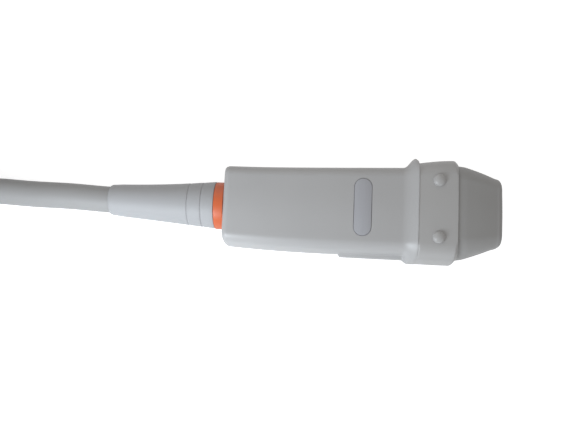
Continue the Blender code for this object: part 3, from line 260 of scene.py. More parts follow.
class ConnectorSizes(bpy.types.PropertyGroup):
    case_length: size(0.0440, "Length of the connector's case")
    case_width: size(0.0620, "Width of the connector's case")
    case_height: size(0.0280, "Height of the connector's case")
    case_corner: size(0.0050, "Corner radius of the case")
    case_edge: size(0.0025, "Radius round the back wall")
    case_wall: size(0.0020, "Thickness of the case")
    cable_offset: size(0.0200, "From the lock to the cable's entry")
    boot_length: size(0.0220, "Length of the connector's strain relief")
    rim_width: size(0.0460, "Across the metal rim")
    rim_height: size(0.0180, "Height of the metal rim")
    rim_length: size(0.0062, "How far the metal rim stands out")
    rim_wall: size(0.0012, "Thickness of the metal rim")
    shaft: size(0.0060, "Diameter of the lock's shaft")
    knob_diameter: size(0.0200, "Diameter of the lock's knob")
    knob_height: size(0.0120, "Height of the knob's grip")
    knob_grip: size(0.0060, "Width of the knob's grip")
    knob_base: size(0.0030, "Thickness of the knob's disc")


class Colours(bpy.types.PropertyGroup):
    grip: paint((0.418, 0.416, 0.417), "Light grey moulded plastic of the grip")
    collar: paint((0.408, 0.404, 0.400), "Slightly warmer plastic of the head's collar")
    # Painted shade: the nose gets a darker grey than the collar to stand for its faces turned from
    # the light
    nose: paint((0.320, 0.317, 0.313), "Darker plastic of the nose")
    badge: paint((0.370, 0.375, 0.400), "Bluish bare plate")
    ring: paint((0.615, 0.124, 0.037), "Orange marking ring")
    boot: paint((0.378, 0.381, 0.390), "Rubber of the strain reliefs")
    cable: paint((0.312, 0.310, 0.309), "Jacket of the cable")
    lens: paint((0.120, 0.130, 0.155), "Silicone of the acoustic lens")
    case: paint((0.380, 0.380, 0.380), "Plastic of the connector's case")
    knob: paint((0.100, 0.105, 0.115), "Plastic of the lock's knob")


class StageSettings(bpy.types.PropertyGroup):
    floor: paint((0.780, 0.780, 0.780), "Pale floor and backdrop")
    sky: FloatProperty(description="Level of the even fill light", default=0.47, min=0.0)
    key: power(0.175, "Large soft lamp at the lower left")
    near: power(0.044, "Low lamp beside the head")
    side: power(0.15, "Weak lamp on the far side")
    focal: FloatProperty(description="Focal length in picture pixels", default=688.9, min=1.0)


GROUPS = {
    "probe_grip": GripSizes,
    "probe_head": HeadSizes,
    "probe_cable": CableSizes,
    "probe_connector": ConnectorSizes,
    "probe_colours": Colours,
    "probe_stage": StageSettings,
}


def settings(name):
    return getattr(bpy.context.scene, "probe_" + name)


# ---------------------------------------------------------------- node trees


class Socket:
    """An output of a node, on which Python's operators add Math nodes."""

    def __init__(self, tree, output):
        self.tree = tree
        self.output = output

    def math(self, operation, *others):
        sockets = dict(enumerate((self, *others)))
        return self.tree.node("ShaderNodeMath", {"operation": operation}, sockets)

    def __add__(self, other):
        return self.math("ADD", other)

    def __sub__(self, other):
        return self.math("SUBTRACT", other)

    def __rsub__(self, other):
        return self.tree.node("ShaderNodeMath", {"operation": "SUBTRACT"}, {0: other, 1: self})

    def __mul__(self, other):
        return self.math("MULTIPLY", other)

    def __gt__(self, other):
        return self.math("GREATER_THAN", other)


class Tree:
    """A node tree that is filled one node at a time."""

    def __init__(self, tree):
        self.tree = tree

    def node(self, kind, choices=None, sockets=None, output=0):
        """A node with its choices made first and its sockets filled next; returns one output."""
        made = self.tree.nodes.new(kind)
        for name, value in (choices or {}).items():
            setattr(made, name, value)
        for key, value in (sockets or {}).items():
            self.fill(made.inputs[key], value)
        return Socket(self, made.outputs[output])

    def fill(self, socket, value):
        if isinstance(value, Socket):
            self.tree.links.new(value.output, socket)
        else:
            socket.default_value = value


class Look(Tree):
    """A material round one Principled shader, with patterns in the piece's own coordinates."""

    def __init__(self, name, **constants):
        self.material = bpy.data.materials.new(name)
        self.material.use_nodes = True
        super().__init__(self.material.node_tree)
        self.shader = self.tree.nodes["Principled BSDF"]
        for key, value in constants.items():
            self.shader.inputs[key.replace("_", " ").title()].default_value = value
        self.place = self.node("ShaderNodeTexCoord", output="Object")

    def set(self, **sockets):
        for key, value in sockets.items():
            self.fill(self.shader.inputs[key.replace("_", " ").title()], value)
        return self.material

    def stretched(self, scale):
        return self.node("ShaderNodeMapping", {}, {"Vector": self.place, "Scale": scale})

    def cells(self, scale):
        choices, sockets = {"feature": "F1"}, {"Vector": self.place, "Scale": scale}
        return self.node("ShaderNodeTexVoronoi", choices, sockets)

    def noise(self, scale, detail=2.0, place=None):
        sockets = {"Vector": place or self.place, "Scale": scale, "Detail": detail}
        return self.node("ShaderNodeTexNoise", {}, sockets)

    def blend(self, share, low, high):
        """A colour between two colours."""
        sockets = {0: share, 6: rgba(low), 7: rgba(high)}
        return self.node("ShaderNodeMix", {"data_type": "RGBA"}, sockets, output=2)

    def bump(self, height, distance):
        sockets = {"Height": height, "Distance": distance, "Strength": 1.0}
        return self.node("ShaderNodeBump", {}, sockets)


def rgba(value):
    return value if isinstance(value, Socket) else (*value, 1.0)


def in_view(tree, mirrored):
    """1 on what the camera sees, straight or through glass, and a share of it in reflections."""
    rays = [f"Is {kind} Ray" for kind in ("Camera", "Glossy", "Transmission")]
    seen, glossy, passed = (tree.node("ShaderNodeLightPath", output=ray) for ray in rays)
    return seen + glossy * mirrored + passed


def shade(colour, factor):
    return tuple(min(1.0, channel * factor) for channel in colour)


def moulded(name, colour, roughness=0.38, grain=4200.0, relief=0.000010, cloud=0.05):
    """Spark-finished plastic: fine even grain, faint flow clouds and a few duller handled spots."""
    look = Look(name)
    clouds = look.noise(55.0, 4.0)
    fine = look.noise(grain, 2.0)
    handled = look.noise(190.0, 5.0)
    tone = look.blend(clouds, shade(colour, 1 - cloud), shade(colour, 1 + cloud))
    tone = look.blend(fine * 0.10, tone, shade(colour, 0.80))
    dull = (handled - 0.5) * 0.16 + (fine - 0.5) * 0.10 + roughness
    return look.set(base_color=tone, roughness=dull, normal=look.bump(fine, relief))


def rubber(name, colour, roughness=0.58, grain=2600.0, relief=0.000014):
    """Soft jacket or boot: velvety, with slow tone changes and dust in its pores."""
    look = Look(name)
    slow = look.noise(38.0, 3.0)
    pores = look.noise(grain, 3.0)
    scuff = look.noise(420.0, 6.0)
    tone = look.blend(slow, shade(colour, 0.95), shade(colour, 1.05))
    tone = look.blend((scuff > 0.66) * 0.10, tone, shade(colour, 1.12))
    dull = (scuff - 0.5) * 0.14 + (pores - 0.5) * 0.12 + roughness
    return look.set(base_color=tone, roughness=dull, normal=look.bump(pores, relief))


def drawn_metal(name, colour, roughness=0.28, along=(30.0, 900.0, 900.0)):
    """Metal with fine lines along its drawing direction and a few brighter rubs."""
    look = Look(name)
    lines = look.noise(1.0, 4.0, look.stretched(along))
    stain = look.noise(120.0, 4.0)
    tone = look.blend(lines, shade(colour, 0.86), shade(colour, 1.06))
    tone = look.blend(stain * 0.25, tone, shade(colour, 0.80))
    dull = (lines - 0.5) * 0.22 + (stain - 0.5) * 0.12 + roughness
    look.set(metallic=1.0 - (stain > 0.72) * 0.08)
    return look.set(base_color=tone, roughness=dull, normal=look.bump(lines, 0.000006))


def crumpled_foil(name, colour):
    look = Look(name, metallic=1.0)
    folds = look.cells(260.0)
    tarnish = look.noise(90.0, 5.0)
    tone = look.blend(tarnish, shade(colour, 0.70), shade(colour, 1.10))
    rough = tarnish * 0.3 + 0.22
    return look.set(base_color=tone, roughness=rough, normal=look.bump(folds, 0.00006))


def traced_board(name, mask, track):
    """Solder mask over tracks, with rows of tinned pads."""
    look = Look(name)
    bricks = {"Scale": 900.0, "Mortar Size": 0.06, "Brick Width": 3.0, "Row Height": 0.6}
    tracks = look.node(
        "ShaderNodeTexBrick", {"offset": 0.5}, {"Vector": look.place, **bricks}, output="Fac"
    )
    spots = look.cells(620.0)
    pads = 1.0 - (spots > 0.22)
    tone = look.blend(tracks, mask, track)
    tone = look.blend(pads, tone, (0.62, 0.60, 0.55))
    rough = 0.42 - pads * 0.15
    return look.set(base_color=tone, metallic=pads * 0.9, roughness=rough,
                    normal=look.bump(tracks + pads, 0.00003))


def striped(name, light, dark, pitch, roughness, relief, direction="Y", metallic=0.0):
    """Fine parallel lines: strands, printed conductors or diced cuts."""
    look = Look(name)
    choices = {"wave_type": "BANDS", "bands_direction": direction, "wave_profile": "SIN"}
    waves = {"Vector": look.place, "Scale": pitch, "Distortion": 0.4}
    lines = look.node("ShaderNodeTexWave", choices, waves)
    drift = look.noise(140.0, 3.0)
    tone = look.blend(lines, dark, light)
    tone = look.blend(drift * 0.3, tone, shade(dark, 0.8))
    return look.set(base_color=tone, metallic=lines * metallic, roughness=drift * 0.12 + roughness,
                    normal=look.bump(lines, relief))


def cast_resin(name, colour, roughness=0.5, filler=1500.0):
    """Epoxy or ceramic with filler grains in it."""
    look = Look(name)
    grains = look.cells(filler)
    slow = look.noise(150.0, 4.0)
    tone = look.blend(slow, shade(colour, 0.85), shade(colour, 1.15))
    tone = look.blend((grains > 0.55) * 0.35, tone, shade(colour, 0.6))
    rough = slow * 0.2 + roughness
    return look.set(base_color=tone, roughness=rough, normal=look.bump(grains, 0.00002))


def lens_silicone(name, colour):
    """Smooth silicone with a breath of gel film left on it."""
    look = Look(name, coat_roughness=0.2)
    film = look.noise(160.0, 4.0)
    slow = look.noise(45.0, 2.0)
    tone = look.blend(slow, shade(colour, 0.9), shade(colour, 1.12))
    return look.set(base_color=tone, roughness=film * 0.2 + 0.28, coat_weight=film * 0.25,
                    normal=look.bump(film, 0.00001))


# ---------------------------------------------------------------- sections and skins


class Ring(NamedTuple):
    """A section across an axis: a rounded rectangle with leaning sides and crowned faces."""

    s: float
    half_width: float
    half_thickness: float
    corner: float
    lean: float = 0.0
    crown: float = 0.0
    rib: float = 0.0
    shift: float = 0.0
    flare: float = 0.0
    rake: float = 0.0


def mix(start, end, share):
    return start + (end - start) * share


def ease(share):
    return 0.5 - 0.5 * math.cos(math.pi * min(max(share, 0.0), 1.0))


def quarter(steps, first=0):
    """(sine, cosine) at even steps over a quarter turn."""
    turns = [step * math.pi / (2 * steps) for step in range(first, steps + 1)]
    return [(math.sin(turn), math.cos(turn)) for turn in turns]


def full_turn(steps):
    return [2 * math.pi * step / steps for step in range(steps)]


def spoke(heading):
    """A level unit vector."""
    return Vector((math.cos(heading), math.sin(heading), 0))


def between(first, second, share):
    return Ring(*(mix(a, b, share) for a, b in zip(first, second)))


def softened(rings, radius, steps=4):
    """The same run of sections with every inner one rounded off along the axis."""
    result = [rings[0]]
    for before, ring, after in zip(rings, rings[1:], rings[2:]):
        span_in = math.hypot(ring.s - before.s, ring.half_width - before.half_width)
        span_out = math.hypot(after.s - ring.s, after.half_width - ring.half_width)
        start = between(ring, before, min(0.45, radius / span_in))
        end = between(ring, after, min(0.45, radius / span_out))
        for step in range(steps + 1):
            share = step / steps
            result.append(between(between(start, ring, share), between(ring, end, share), share))
    return result + [rings[-1]]


def upper_half(ring, grip):
    """(y, z) over the upper half of a section, from its -Y side to its +Y side."""
    top = ring.half_thickness - ring.crown
    corner = min(ring.corner, ring.half_width, top)
    flat, wall = ring.half_width - corner, top - corner
    foot, brow = grip.rib_width / 2, grip.rib_width / 2 - grip.rib_slope
    heights = [0.0, brow / 2] + [mix(brow, foot, step / 4) for step in range(5)]
    heights = [min(height, wall) for height in heights]
    heights += [mix(heights[-1], wall, step / 5) for step in range(1, 5)]
    side = [(-ring.half_width - ring.rib * ease((foot - z) / (foot - brow)), z) for z in heights]
    far_side = [(ring.half_width, z) for z in reversed(heights)]
    left = [(-flat - corner * cosine, wall + corner * sine) for sine, cosine in quarter(10)]
    right = [(-y, z) for y, z in reversed(left)]
    shares = [step / 8 - 1 for step in range(1, 16)]
    face = [(flat * across, top + ring.crown * (1 - across**2) ** 2) for across in shares]
    lean = ring.lean / (ring.half_width * top**2)
    result = []
    for y, z in side + left + face + right + far_side:
        outwards = ring.flare * max(0.0, 1 - (z / top) ** 2) ** 2 if y < 0 else 0.0
        result.append((y * (1 - lean * min(z, top) ** 2) + ring.shift - outwards, z))
    return result


def new_piece(name, bm, matrix, material, sharp=SHARP_ANGLE):
    """A finished mesh at the origin, its place in its mesh."""
    bmesh.ops.remove_doubles(bm, verts=bm.verts, dist=1e-7)
    bmesh.ops.recalc_face_normals(bm, faces=bm.faces)
    if bm.calc_volume(signed=True) < 0:
        bmesh.ops.reverse_faces(bm, faces=bm.faces)
    mesh = bpy.data.meshes.new(name)
    bm.to_mesh(mesh)
    bm.free()
    mesh.transform(matrix)
    mesh.materials.append(material)
    return link_piece(name, mesh, sharp)


def smooth(mesh, sharp=SHARP_ANGLE):
    mesh.shade_smooth()
    mesh.set_sharp_from_angle(angle=math.radians(sharp))


def link_piece(name, mesh, sharp):
    mesh.name = name
    smooth(mesh, sharp)
    piece = bpy.data.objects.new(name, mesh)
    bpy.context.scene.collection.objects.link(piece)
    return piece


def settle(piece, body, slot, *nodes):
    """The piece rides on its body and stands for its nodes, which are hidden; the slot is not used.
    """
    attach(piece, body)
    if nodes:
        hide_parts(*nodes)


def bridged(bm, rows, closed=True, around=True):
    """Adds the faces between rows of vertices: a closed loop of rows, or an open run with caps."""
    count = len(rows[0])
    following_rows = rows[1:] + rows[:1] if closed else rows[1:]
    for row, following in zip(rows, following_rows):
        for j in range(count if around else count - 1):
            k = (j + 1) % count
            bm.faces.new((row[j], following[j], following[k], row[k]))
    if not closed:
        bm.faces.new(rows[0])
        bm.faces.new(rows[-1])
    return bm


def skin(rings, half=0, capped=False):
    """Bmesh through a run of sections: a closed loop of them, or an open run with capped ends."""
    grip = settings("grip")
    bm = bmesh.new()
    rows = []
    for ring in rings:
        points = upper_half(ring, grip)
        if half:
            points = [(y, half * max(z, grip.seam / 2)) for y, z in points]
        else:
            points += [(y, -z) for y, z in points[-2:0:-1]]
        rakes = [ring.rake * (z / ring.half_thickness) ** 2 for y, z in points]
        rows.append([bm.verts.new((ring.s - rake, y, z)) for rake, (y, z) in zip(rakes, points)])
    bridged(bm, rows, not capped, not half)
    if half:
        bm.faces.new([row[0] for row in rows])
        bm.faces.new([row[-1] for row in rows])
    return bm


def rounded_profile(points, radius, steps=3):
    """A closed (x, r) profile with each of its corners rounded."""
    result = []
    for i, (x, r) in enumerate(points):
        near, far = Vector(points[i - 1]), Vector(points[(i + 1) % len(points)])
        here = Vector((x, r))
        start = here + (near - here) * min(0.45, radius / max((near - here).length, 1e-9))
        end = here + (far - here) * min(0.45, radius / max((far - here).length, 1e-9))
        for step in range(steps + 1):
            share = step / steps
            result.append(start.lerp(here, share).lerp(here.lerp(end, share), share))
    return result


def turned(profile, shift=None):
    """Bmesh of a closed (x, r) profile turned round the x axis; shift(x) moves it sideways."""
    bm = bmesh.new()
    rows, turns = [], full_turn(RADIAL_STEPS)
    for x, r in profile:
        y = shift(x) if shift else 0.0
        points = [(x, y + r * math.cos(turn), r * math.sin(turn)) for turn in turns]
        rows.append([bm.verts.new(point) for point in points])
    return bridged(bm, rows)


def solid_bar(low, high, bevel):
    bm = bmesh.new()
    low, high = Vector(low), Vector(high)
    place = Matrix.Translation((low + high) / 2) @ Matrix.Diagonal((*(high - low), 1))
    bmesh.ops.create_cube(bm, size=1.0, matrix=place)
    bmesh.ops.bevel(bm, geom=bm.edges, offset=bevel, segments=4, profile=0.5, affect="EDGES")
    return bm


def plug(radius, start, end):
    """A cutter along x."""
    bm = bmesh.new()
    place = Matrix.Translation(((start + end) / 2, 0, 0)) @ Matrix.Rotation(math.pi / 2, 4, "Y")
    bmesh.ops.create_cone(
        bm, cap_ends=True, segments=64, radius1=radius, radius2=radius, depth=end - start,
        matrix=place,
    )
    return bm


def stadium(span, width, low, high, edge, steps=16):
    """Bmesh of a flat bar with round ends, long across y, with a softened upper edge."""
    reach = (span - width) / 2
    rows = []
    softer = edge * 0.3
    for height, inset in ((low, 0.0), (high - edge, 0.0), (high - softer, softer), (high, edge)):
        row = []
        for end, first in ((reach, 0.0), (-reach, math.pi)):
            for step in range(steps + 1):
                turn = first + step * math.pi / steps
                radius = width / 2 - inset
                row.append((radius * math.cos(turn), end + radius * math.sin(turn), height))
        rows.append(row)
    bm = bmesh.new()
    return bridged(bm, [[bm.verts.new(point) for point in row] for row in rows], closed=False)


def evaluated_mesh(piece):
    """A plain mesh of the piece with its modifiers."""
    bpy.context.view_layer.update()
    evaluated = piece.evaluated_get(bpy.context.evaluated_depsgraph_get())
    return bpy.data.meshes.new_from_object(evaluated)


def combined(piece, bm, matrix, operation):
    """Cuts or joins a bmesh, given in the same axes as the piece, and keeps the plain result."""
    helper = new_piece("helper", bm, matrix, piece.data.materials[0])
    modifier = piece.modifiers.new("shape", "BOOLEAN")
    modifier.operation = operation
    modifier.solver = "EXACT"
    modifier.object = helper
    mesh = evaluated_mesh(piece)
    piece.modifiers.clear()
    piece.data = mesh
    smooth(mesh)
    bpy.data.objects.remove(helper)


# ---------------------------------------------------------------- repeated features


class Repeater(Tree):
    """A Geometry Nodes tree on a bare mesh, with named sizes, baked to a plain mesh."""

    def __init__(self, name, material, **sizes):
        super().__init__(bpy.data.node_groups.new(name, "GeometryNodeTree"))
        self.name = name
        self.material = material
        self.sizes = sizes
        interface = self.tree.interface
        interface.new_socket(name="Geometry", in_out="INPUT", socket_type="NodeSocketGeometry")
        for label, value in sizes.items():
            kind = "NodeSocketInt" if isinstance(value, int) else "NodeSocketFloat"
            interface.new_socket(name=label, in_out="INPUT", socket_type=kind)
        interface.new_socket(name="Geometry", in_out="OUTPUT", socket_type="NodeSocketGeometry")
        self.entry = self.tree.nodes.new("NodeGroupInput")

    def value(self, label):
        return Socket(self, self.entry.outputs[label])

    def vector(self, x=0.0, y=0.0, z=0.0):
        return self.node("ShaderNodeCombineXYZ", {}, {"X": x, "Y": y, "Z": z})

    def placed(self, shape, **sockets):
        """The shape with any of Translation, Rotation and Scale."""
        return self.node("GeometryNodeTransform", {}, {"Geometry": shape, **sockets})

    def along(self, shape, points):
        return self.node("GeometryNodeInstanceOnPoints", {}, {"Points": points, "Instance": shape})

    def joined(self, *shapes):
        made = self.tree.nodes.new("GeometryNodeJoinGeometry")
        for shape in reversed(shapes):
            self.tree.links.new(shape.output, made.inputs[0])
        return Socket(self, made.outputs[0])

    def baked(self, shape, matrix):
        """The plain piece that the tree makes, with its place in its mesh."""
        real = self.node("GeometryNodeRealizeInstances", {}, {"Geometry": shape})
        sockets = {"Geometry": real, "Material": self.material}
        finished = self.node("GeometryNodeSetMaterial", {}, sockets)
        self.fill(self.tree.nodes.new("NodeGroupOutput").inputs[0], finished)
        carrier = bpy.data.objects.new(self.name, bpy.data.meshes.new(self.name))
        bpy.context.scene.collection.objects.link(carrier)
        modifier = carrier.modifiers.new(self.name, "NODES")
        modifier.node_group = self.tree
        for item in self.tree.interface.items_tree:
            if item.in_out == "INPUT" and item.name in self.sizes:
                modifier[item.identifier] = self.sizes[item.name]
        mesh = evaluated_mesh(carrier)
        bpy.data.objects.remove(carrier)
        mesh.transform(matrix)
        return link_piece(self.name, mesh, REPEATED_SHARP_ANGLE)


# ---------------------------------------------------------------- places along the probe


class Places:
    """Where each piece of the probe starts and ends along its axis."""

    def __init__(self):
        grip, head = settings("grip"), settings("head")
        self.stop_start = grip.length
        self.stop_top = self.stop_start + head.stop_rise
        self.grip_end = self.stop_top + head.lip_length
        self.collar_start = self.grip_end + CLEAR
        self.collar_end = self.collar_start + head.collar_length
        self.chamfer_start = self.collar_end - head.chamfer_length
        self.nose_start = self.collar_end + CLEAR
        self.nose_end = self.nose_start + head.nose_length
        self.lens_front = self.nose_end + head.lens_proud

    def matrix(self):
        """From the probe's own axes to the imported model's."""
        lens = mount("lens_face")
        along = Vector(lens["axis"]).normalized()
        across = Vector((0, 1, 0))
        up = along.cross(across)
        turn = Matrix((along, across, up)).transposed().to_4x4()
        return Matrix.Translation(Vector(lens["pos_m"]) - along * self.lens_front) @ turn


def connector_matrix():
    """From the connector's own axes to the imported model's."""
    lock = RECORD["behaviour"]["joints"][0]
    return Matrix.Translation(lock["pos_m"]) @ Matrix.Rotation(math.pi, 4, "Z")


def grip_ring(s, inset=0.0, rib=0.0):
    grip = settings("grip")
    share = min(max(s / grip.length, 0.0), 1.0)
    width = mix(grip.rear_width, grip.front_width, share) / 2
    width += grip.bulge * math.sin(math.pi * share)
    thickness = mix(grip.rear_thickness, grip.front_thickness, share) / 2
    corner = max(grip.corner - inset, CLEAR)
    lean = mix(grip.rear_lean, grip.front_lean, share)
    return Ring(s, width - inset, thickness - inset, corner, lean, grip.crown, rib)


def outer_ring(s, inset=0.0, rib=0.0):
    """Outside of the grip, which bows a little and has a tighter far corner at its back."""
    grip = settings("grip")
    share = min(max(s / grip.length, 0.0), 1.0)
    bow = grip.bow * math.sin(math.pi * share**0.75)
    ring = grip_ring(s, inset, rib)
    return ring._replace(half_width=ring.half_width + inset / 4, shift=inset / 4 - bow)


def bore_ring(s, depth=0.0):
    """Inside of the grip's front, where the collar's sleeve goes."""
    grip = settings("grip")
    return grip_ring(grip.length, grip.wall + depth)._replace(s=s, crown=0.0)


def neck_hole():
    """Radius of the hole that a strain relief's neck passes through."""
    return settings("cable").diameter / 2 + 2 * CLEAR + NECK_WALL


def neck_ring(s):
    return Ring(s, neck_hole(), neck_hole(), neck_hole())


def grip_rings():
    grip, head, places = settings("grip"), settings("head"), Places()
    rings = [neck_ring(grip.rear_set)]
    for sine, cosine in quarter(10):
        drop, inset = grip.rear_edge * (1 - cosine), grip.rear_edge * (1 - sine)
        rings.append(outer_ring(grip.rear_set + drop, inset))
    for step in range(1, 16):
        rings.append(outer_ring(mix(grip.rear_set + grip.rear_edge, grip.rib_start, step / 16)))
    for share in (step / 6 for step in range(7)):
        s = grip.rib_start + grip.rib_slope * share
        rings.append(outer_ring(s, rib=grip.rib_height * ease(share)))
    rib_top = grip.rib_start + grip.rib_slope
    for share in (step / 8 for step in range(1, 8)):
        rib = grip.rib_height + grip.rib_growth * share
        rings.append(outer_ring(mix(rib_top, places.stop_start, share), rib=rib))
    rings += [stop_ring(step / 24) for step in range(25)]
    edge = crest_ring(0.0, -SEAM)
    undercut = edge.s - UNDERCUT
    rings += [edge, edge._replace(s=undercut), collar_ring(undercut, head.skirt + SEAM)]
    rings.append(collar_ring(places.grip_end, head.skirt + SEAM))
    rings += [bore_ring(s) for s in (places.grip_end, places.stop_start)]
    for s in (grip.length * 0.7, grip.length * 0.4, grip.length * 0.15, REAR_WALL):
        rings.append(grip_ring(s, grip.wall)._replace(crown=0.0))
    return rings + [neck_ring(REAR_WALL)]


def stop_ring(share):
    """Section of the finger stop, from its foot at 0 to its crest at 1."""
    grip, head, places = settings("grip"), settings("head"), Places()
    foot = grip_ring(places.stop_start)
    ridge = Ring(
        places.stop_top, head.stop_width / 2, head.stop_thickness / 2, head.stop_corner,
        head.collar_lean, grip.crown, shift=head.stop_offset,
    )
    fall = head.crest_fall * ease((share - head.crest) / (1 - head.crest))
    rise = ease((share / head.crest) ** 1.4) - fall
    level = mix(foot.half_thickness, ridge.half_thickness, share**1.8)
    ring = between(foot, ridge, rise)._replace(s=mix(foot.s, ridge.s, share), half_thickness=level)
    rib_height = grip.rib_height + grip.rib_growth
    quick = ease((ring.s - foot.s - head.near_start) / head.near_rise)
    reach = mix(foot.half_width + rib_height, ridge.half_width - ridge.shift, quick)
    rib = rib_height * (1 - quick)
    return ring._replace(rib=rib, flare=max(0.0, reach - rib - ring.half_width + ring.shift))


def crest_ring(share, inset=0.0):
    """Section behind the crest: as wide as the crest at 0, as the collar at 1."""
    crest = stop_ring(1.0)
    plain = collar_ring(crest.s + settings("head").crest_drop * share, inset)
    ring = between(crest, plain, ease(share))
    return ring._replace(s=plain.s, half_thickness=plain.half_thickness)


def collar_ring(s, inset=0.0):
    head, places = settings("head"), Places()
    share = (s - places.collar_start) / (places.chamfer_start - places.collar_start)
    swell = math.sin(math.pi / 2 * min(share, 1.0))
    return Ring(
        s,
        mix(head.collar_rear_width, head.collar_front_width, swell) / 2 - inset,
        mix(head.collar_rear_thickness, head.collar_front_thickness, swell) / 2 - inset,
        head.collar_corner, head.collar_lean, settings("grip").crown,
        shift=mix(-head.collar_skew, head.collar_lead, swell),
    )


def rim_face(s, depth=0.0):
    """Section of the nose where it meets the collar's front rim."""
    head = settings("head")
    ring = collar_ring(Places().collar_end, depth)
    return ring._replace(
        s=s, half_width=ring.half_width - head.chamfer + head.nose_swell,
        half_thickness=ring.half_thickness - head.face_step, shift=head.nose_shift,
        rake=head.rim_rake,
    )


def head_ring(s, depth=0.0):
    """Inside of the collar, where the nose's sleeve goes."""
    head = settings("head")
    depth += head.chamfer + head.wall
    return Ring(
        s, head.collar_front_width / 2 - depth, head.collar_front_thickness / 2 - depth,
        max(head.collar_corner + head.chamfer - depth, CLEAR), head.collar_lean,
    )


def lens_ring(s, grow=0.0):
    head = settings("head")
    return Ring(
        s, head.lens_width / 2 + grow, head.lens_thickness / 2 + grow, head.lens_corner + grow,
        shift=head.nose_shift,
    )


def smooth_path(points, spacing):
    """Points at an even spacing on one smooth curve through the given points."""
    knots = [Vector(point) for point in points]
    knots = [2 * knots[0] - knots[1], *knots, 2 * knots[-1] - knots[-2]]
    fine = []
    for a, b, c, d in zip(knots, knots[1:], knots[2:], knots[3:]):
        for step in range(12):
            t = step / 12
            bend = (2 * a - 5 * b + 4 * c - d) * t**2 + (3 * b - a - 3 * c + d) * t**3
            fine.append(0.5 * (2 * b + (c - a) * t + bend))
    fine.append(knots[-2])
    walked = np.cumsum([0.0] + [(q - p).length for p, q in zip(fine, fine[1:])])
    wanted = np.linspace(0, walked[-1], max(2, round(walked[-1] / spacing)) + 1)
    return np.stack([np.interp(wanted, walked, [p[axis] for p in fine]) for axis in range(3)], 1)


def tube(points, radius, sides=28):
    """Bmesh of a round cable along the points, closed at both ends."""
    bm = bmesh.new()
    rows = []
    points = [Vector(point) for point in points]
    side = Vector((0, 1, 0))
    for i, point in enumerate(points):
        ahead = (points[min(i + 1, len(points) - 1)] - points[max(i - 1, 0)]).normalized()
        side = (side - ahead * side.dot(ahead)).normalized()
        other = ahead.cross(side)
        arms = [side * math.cos(turn) + other * math.sin(turn) for turn in full_turn(sides)]
        rows.append([bm.verts.new(point + radius * arm) for arm in arms])
    return bridged(bm, rows, closed=False)


# Cable on the table between the strain relief and the coil: x, y and height off the table
TABLE_ROUTE = (
    (-0.0740, 0.0011, 0.0014),
    (-0.0870, 0.0014, 0.0005),
    (-0.1000, 0.0019, 0.0001),
    (-0.1100, 0.0009, 0.0),
    (-0.1180, -0.0029, 0.0),
    (-0.1260, -0.0076, 0.0),
)
COIL_CENTRE = Vector((-0.1589, 0.0325, 0.0))
JOINING_ANGLE = -60.0
TOP_ANGLE = 95.0
LEAVING_ANGLE = 20.0
# Degrees over which a turn steps sideways or up, and over which the last one goes up onto the top
CROSSING = 90.0
TOP_CLIMB = 70.0


def coil_points(diameter, outer):
    """Two layers of three turns, clockwise: inwards below, outwards above, then onto the top."""
    lower_turns = 1080.0
    upper_step = lower_turns + 360.0 - CROSSING
    end = lower_turns + 720.0 + (JOINING_ANGLE - TOP_ANGLE) % 360
    points = []
    angle = 0.0
    while angle <= end:
        inwards = sum(ease((angle - at + CROSSING) / CROSSING) for at in (360.0, 720.0))
        steps = (upper_step, upper_step + 360)
        outwards = sum(ease((angle - at + CROSSING) / CROSSING) for at in steps)
        layers = ease((angle - lower_turns + 1.5 * CROSSING) / CROSSING)
        layers += ease((angle - end + TOP_CLIMB) / TOP_CLIMB)
        radius = outer - diameter * (inwards - outwards)
        level = spoke(math.radians(JOINING_ANGLE - angle)) * radius
        points.append(COIL_CENTRE + level + Vector((0, 0, diameter / 2 + diameter * layers)))
        angle += 10.0
    return points


def cable_route(sizes):
    """The cable's whole way from its crimp in the grip to its crimp in the connector."""
    place = Places().matrix()
    radius = sizes.diameter / 2
    tip = -sizes.ring_length - CLEAR - sizes.boot_length
    route = []
    for s in (GRIP_CRIMP, 0.0, tip * 0.5, tip):
        share = max(0.0, (-sizes.ring_length - CLEAR - s) / sizes.boot_length)
        route.append(place @ Vector((s, sizes.boot_set * share**2, 0)))
    route += [Vector((x, y, radius + lift)) for x, y, lift in TABLE_ROUTE]
    route += coil_points(sizes.diameter, sizes.outer_turn)
    top = 2 * sizes.diameter + CLEAR + radius
    for share in (0.25, 0.5, 0.75):
        heading = math.radians(mix(TOP_ANGLE, LEAVING_ANGLE, share))
        route.append(COIL_CENTRE + spoke(heading) * sizes.outer_turn + Vector((0, 0, top)))
    leaving = math.radians(LEAVING_ANGLE)
    bend = COIL_CENTRE + (sizes.outer_turn - sizes.last_bend) * spoke(leaving)
    entry = connector_matrix() @ Vector((0, settings("connector").cable_offset, 0))
    for share in (step / 6 for step in range(7)):
        level = spoke(mix(leaving, -math.pi / 2, share)) * sizes.last_bend
        route.append(bend + level + Vector((0, 0, mix(top, entry.z, ease(share**1.5)))))
    return route + [entry, entry - Vector((CONNECTOR_CRIMP, 0, 0))]


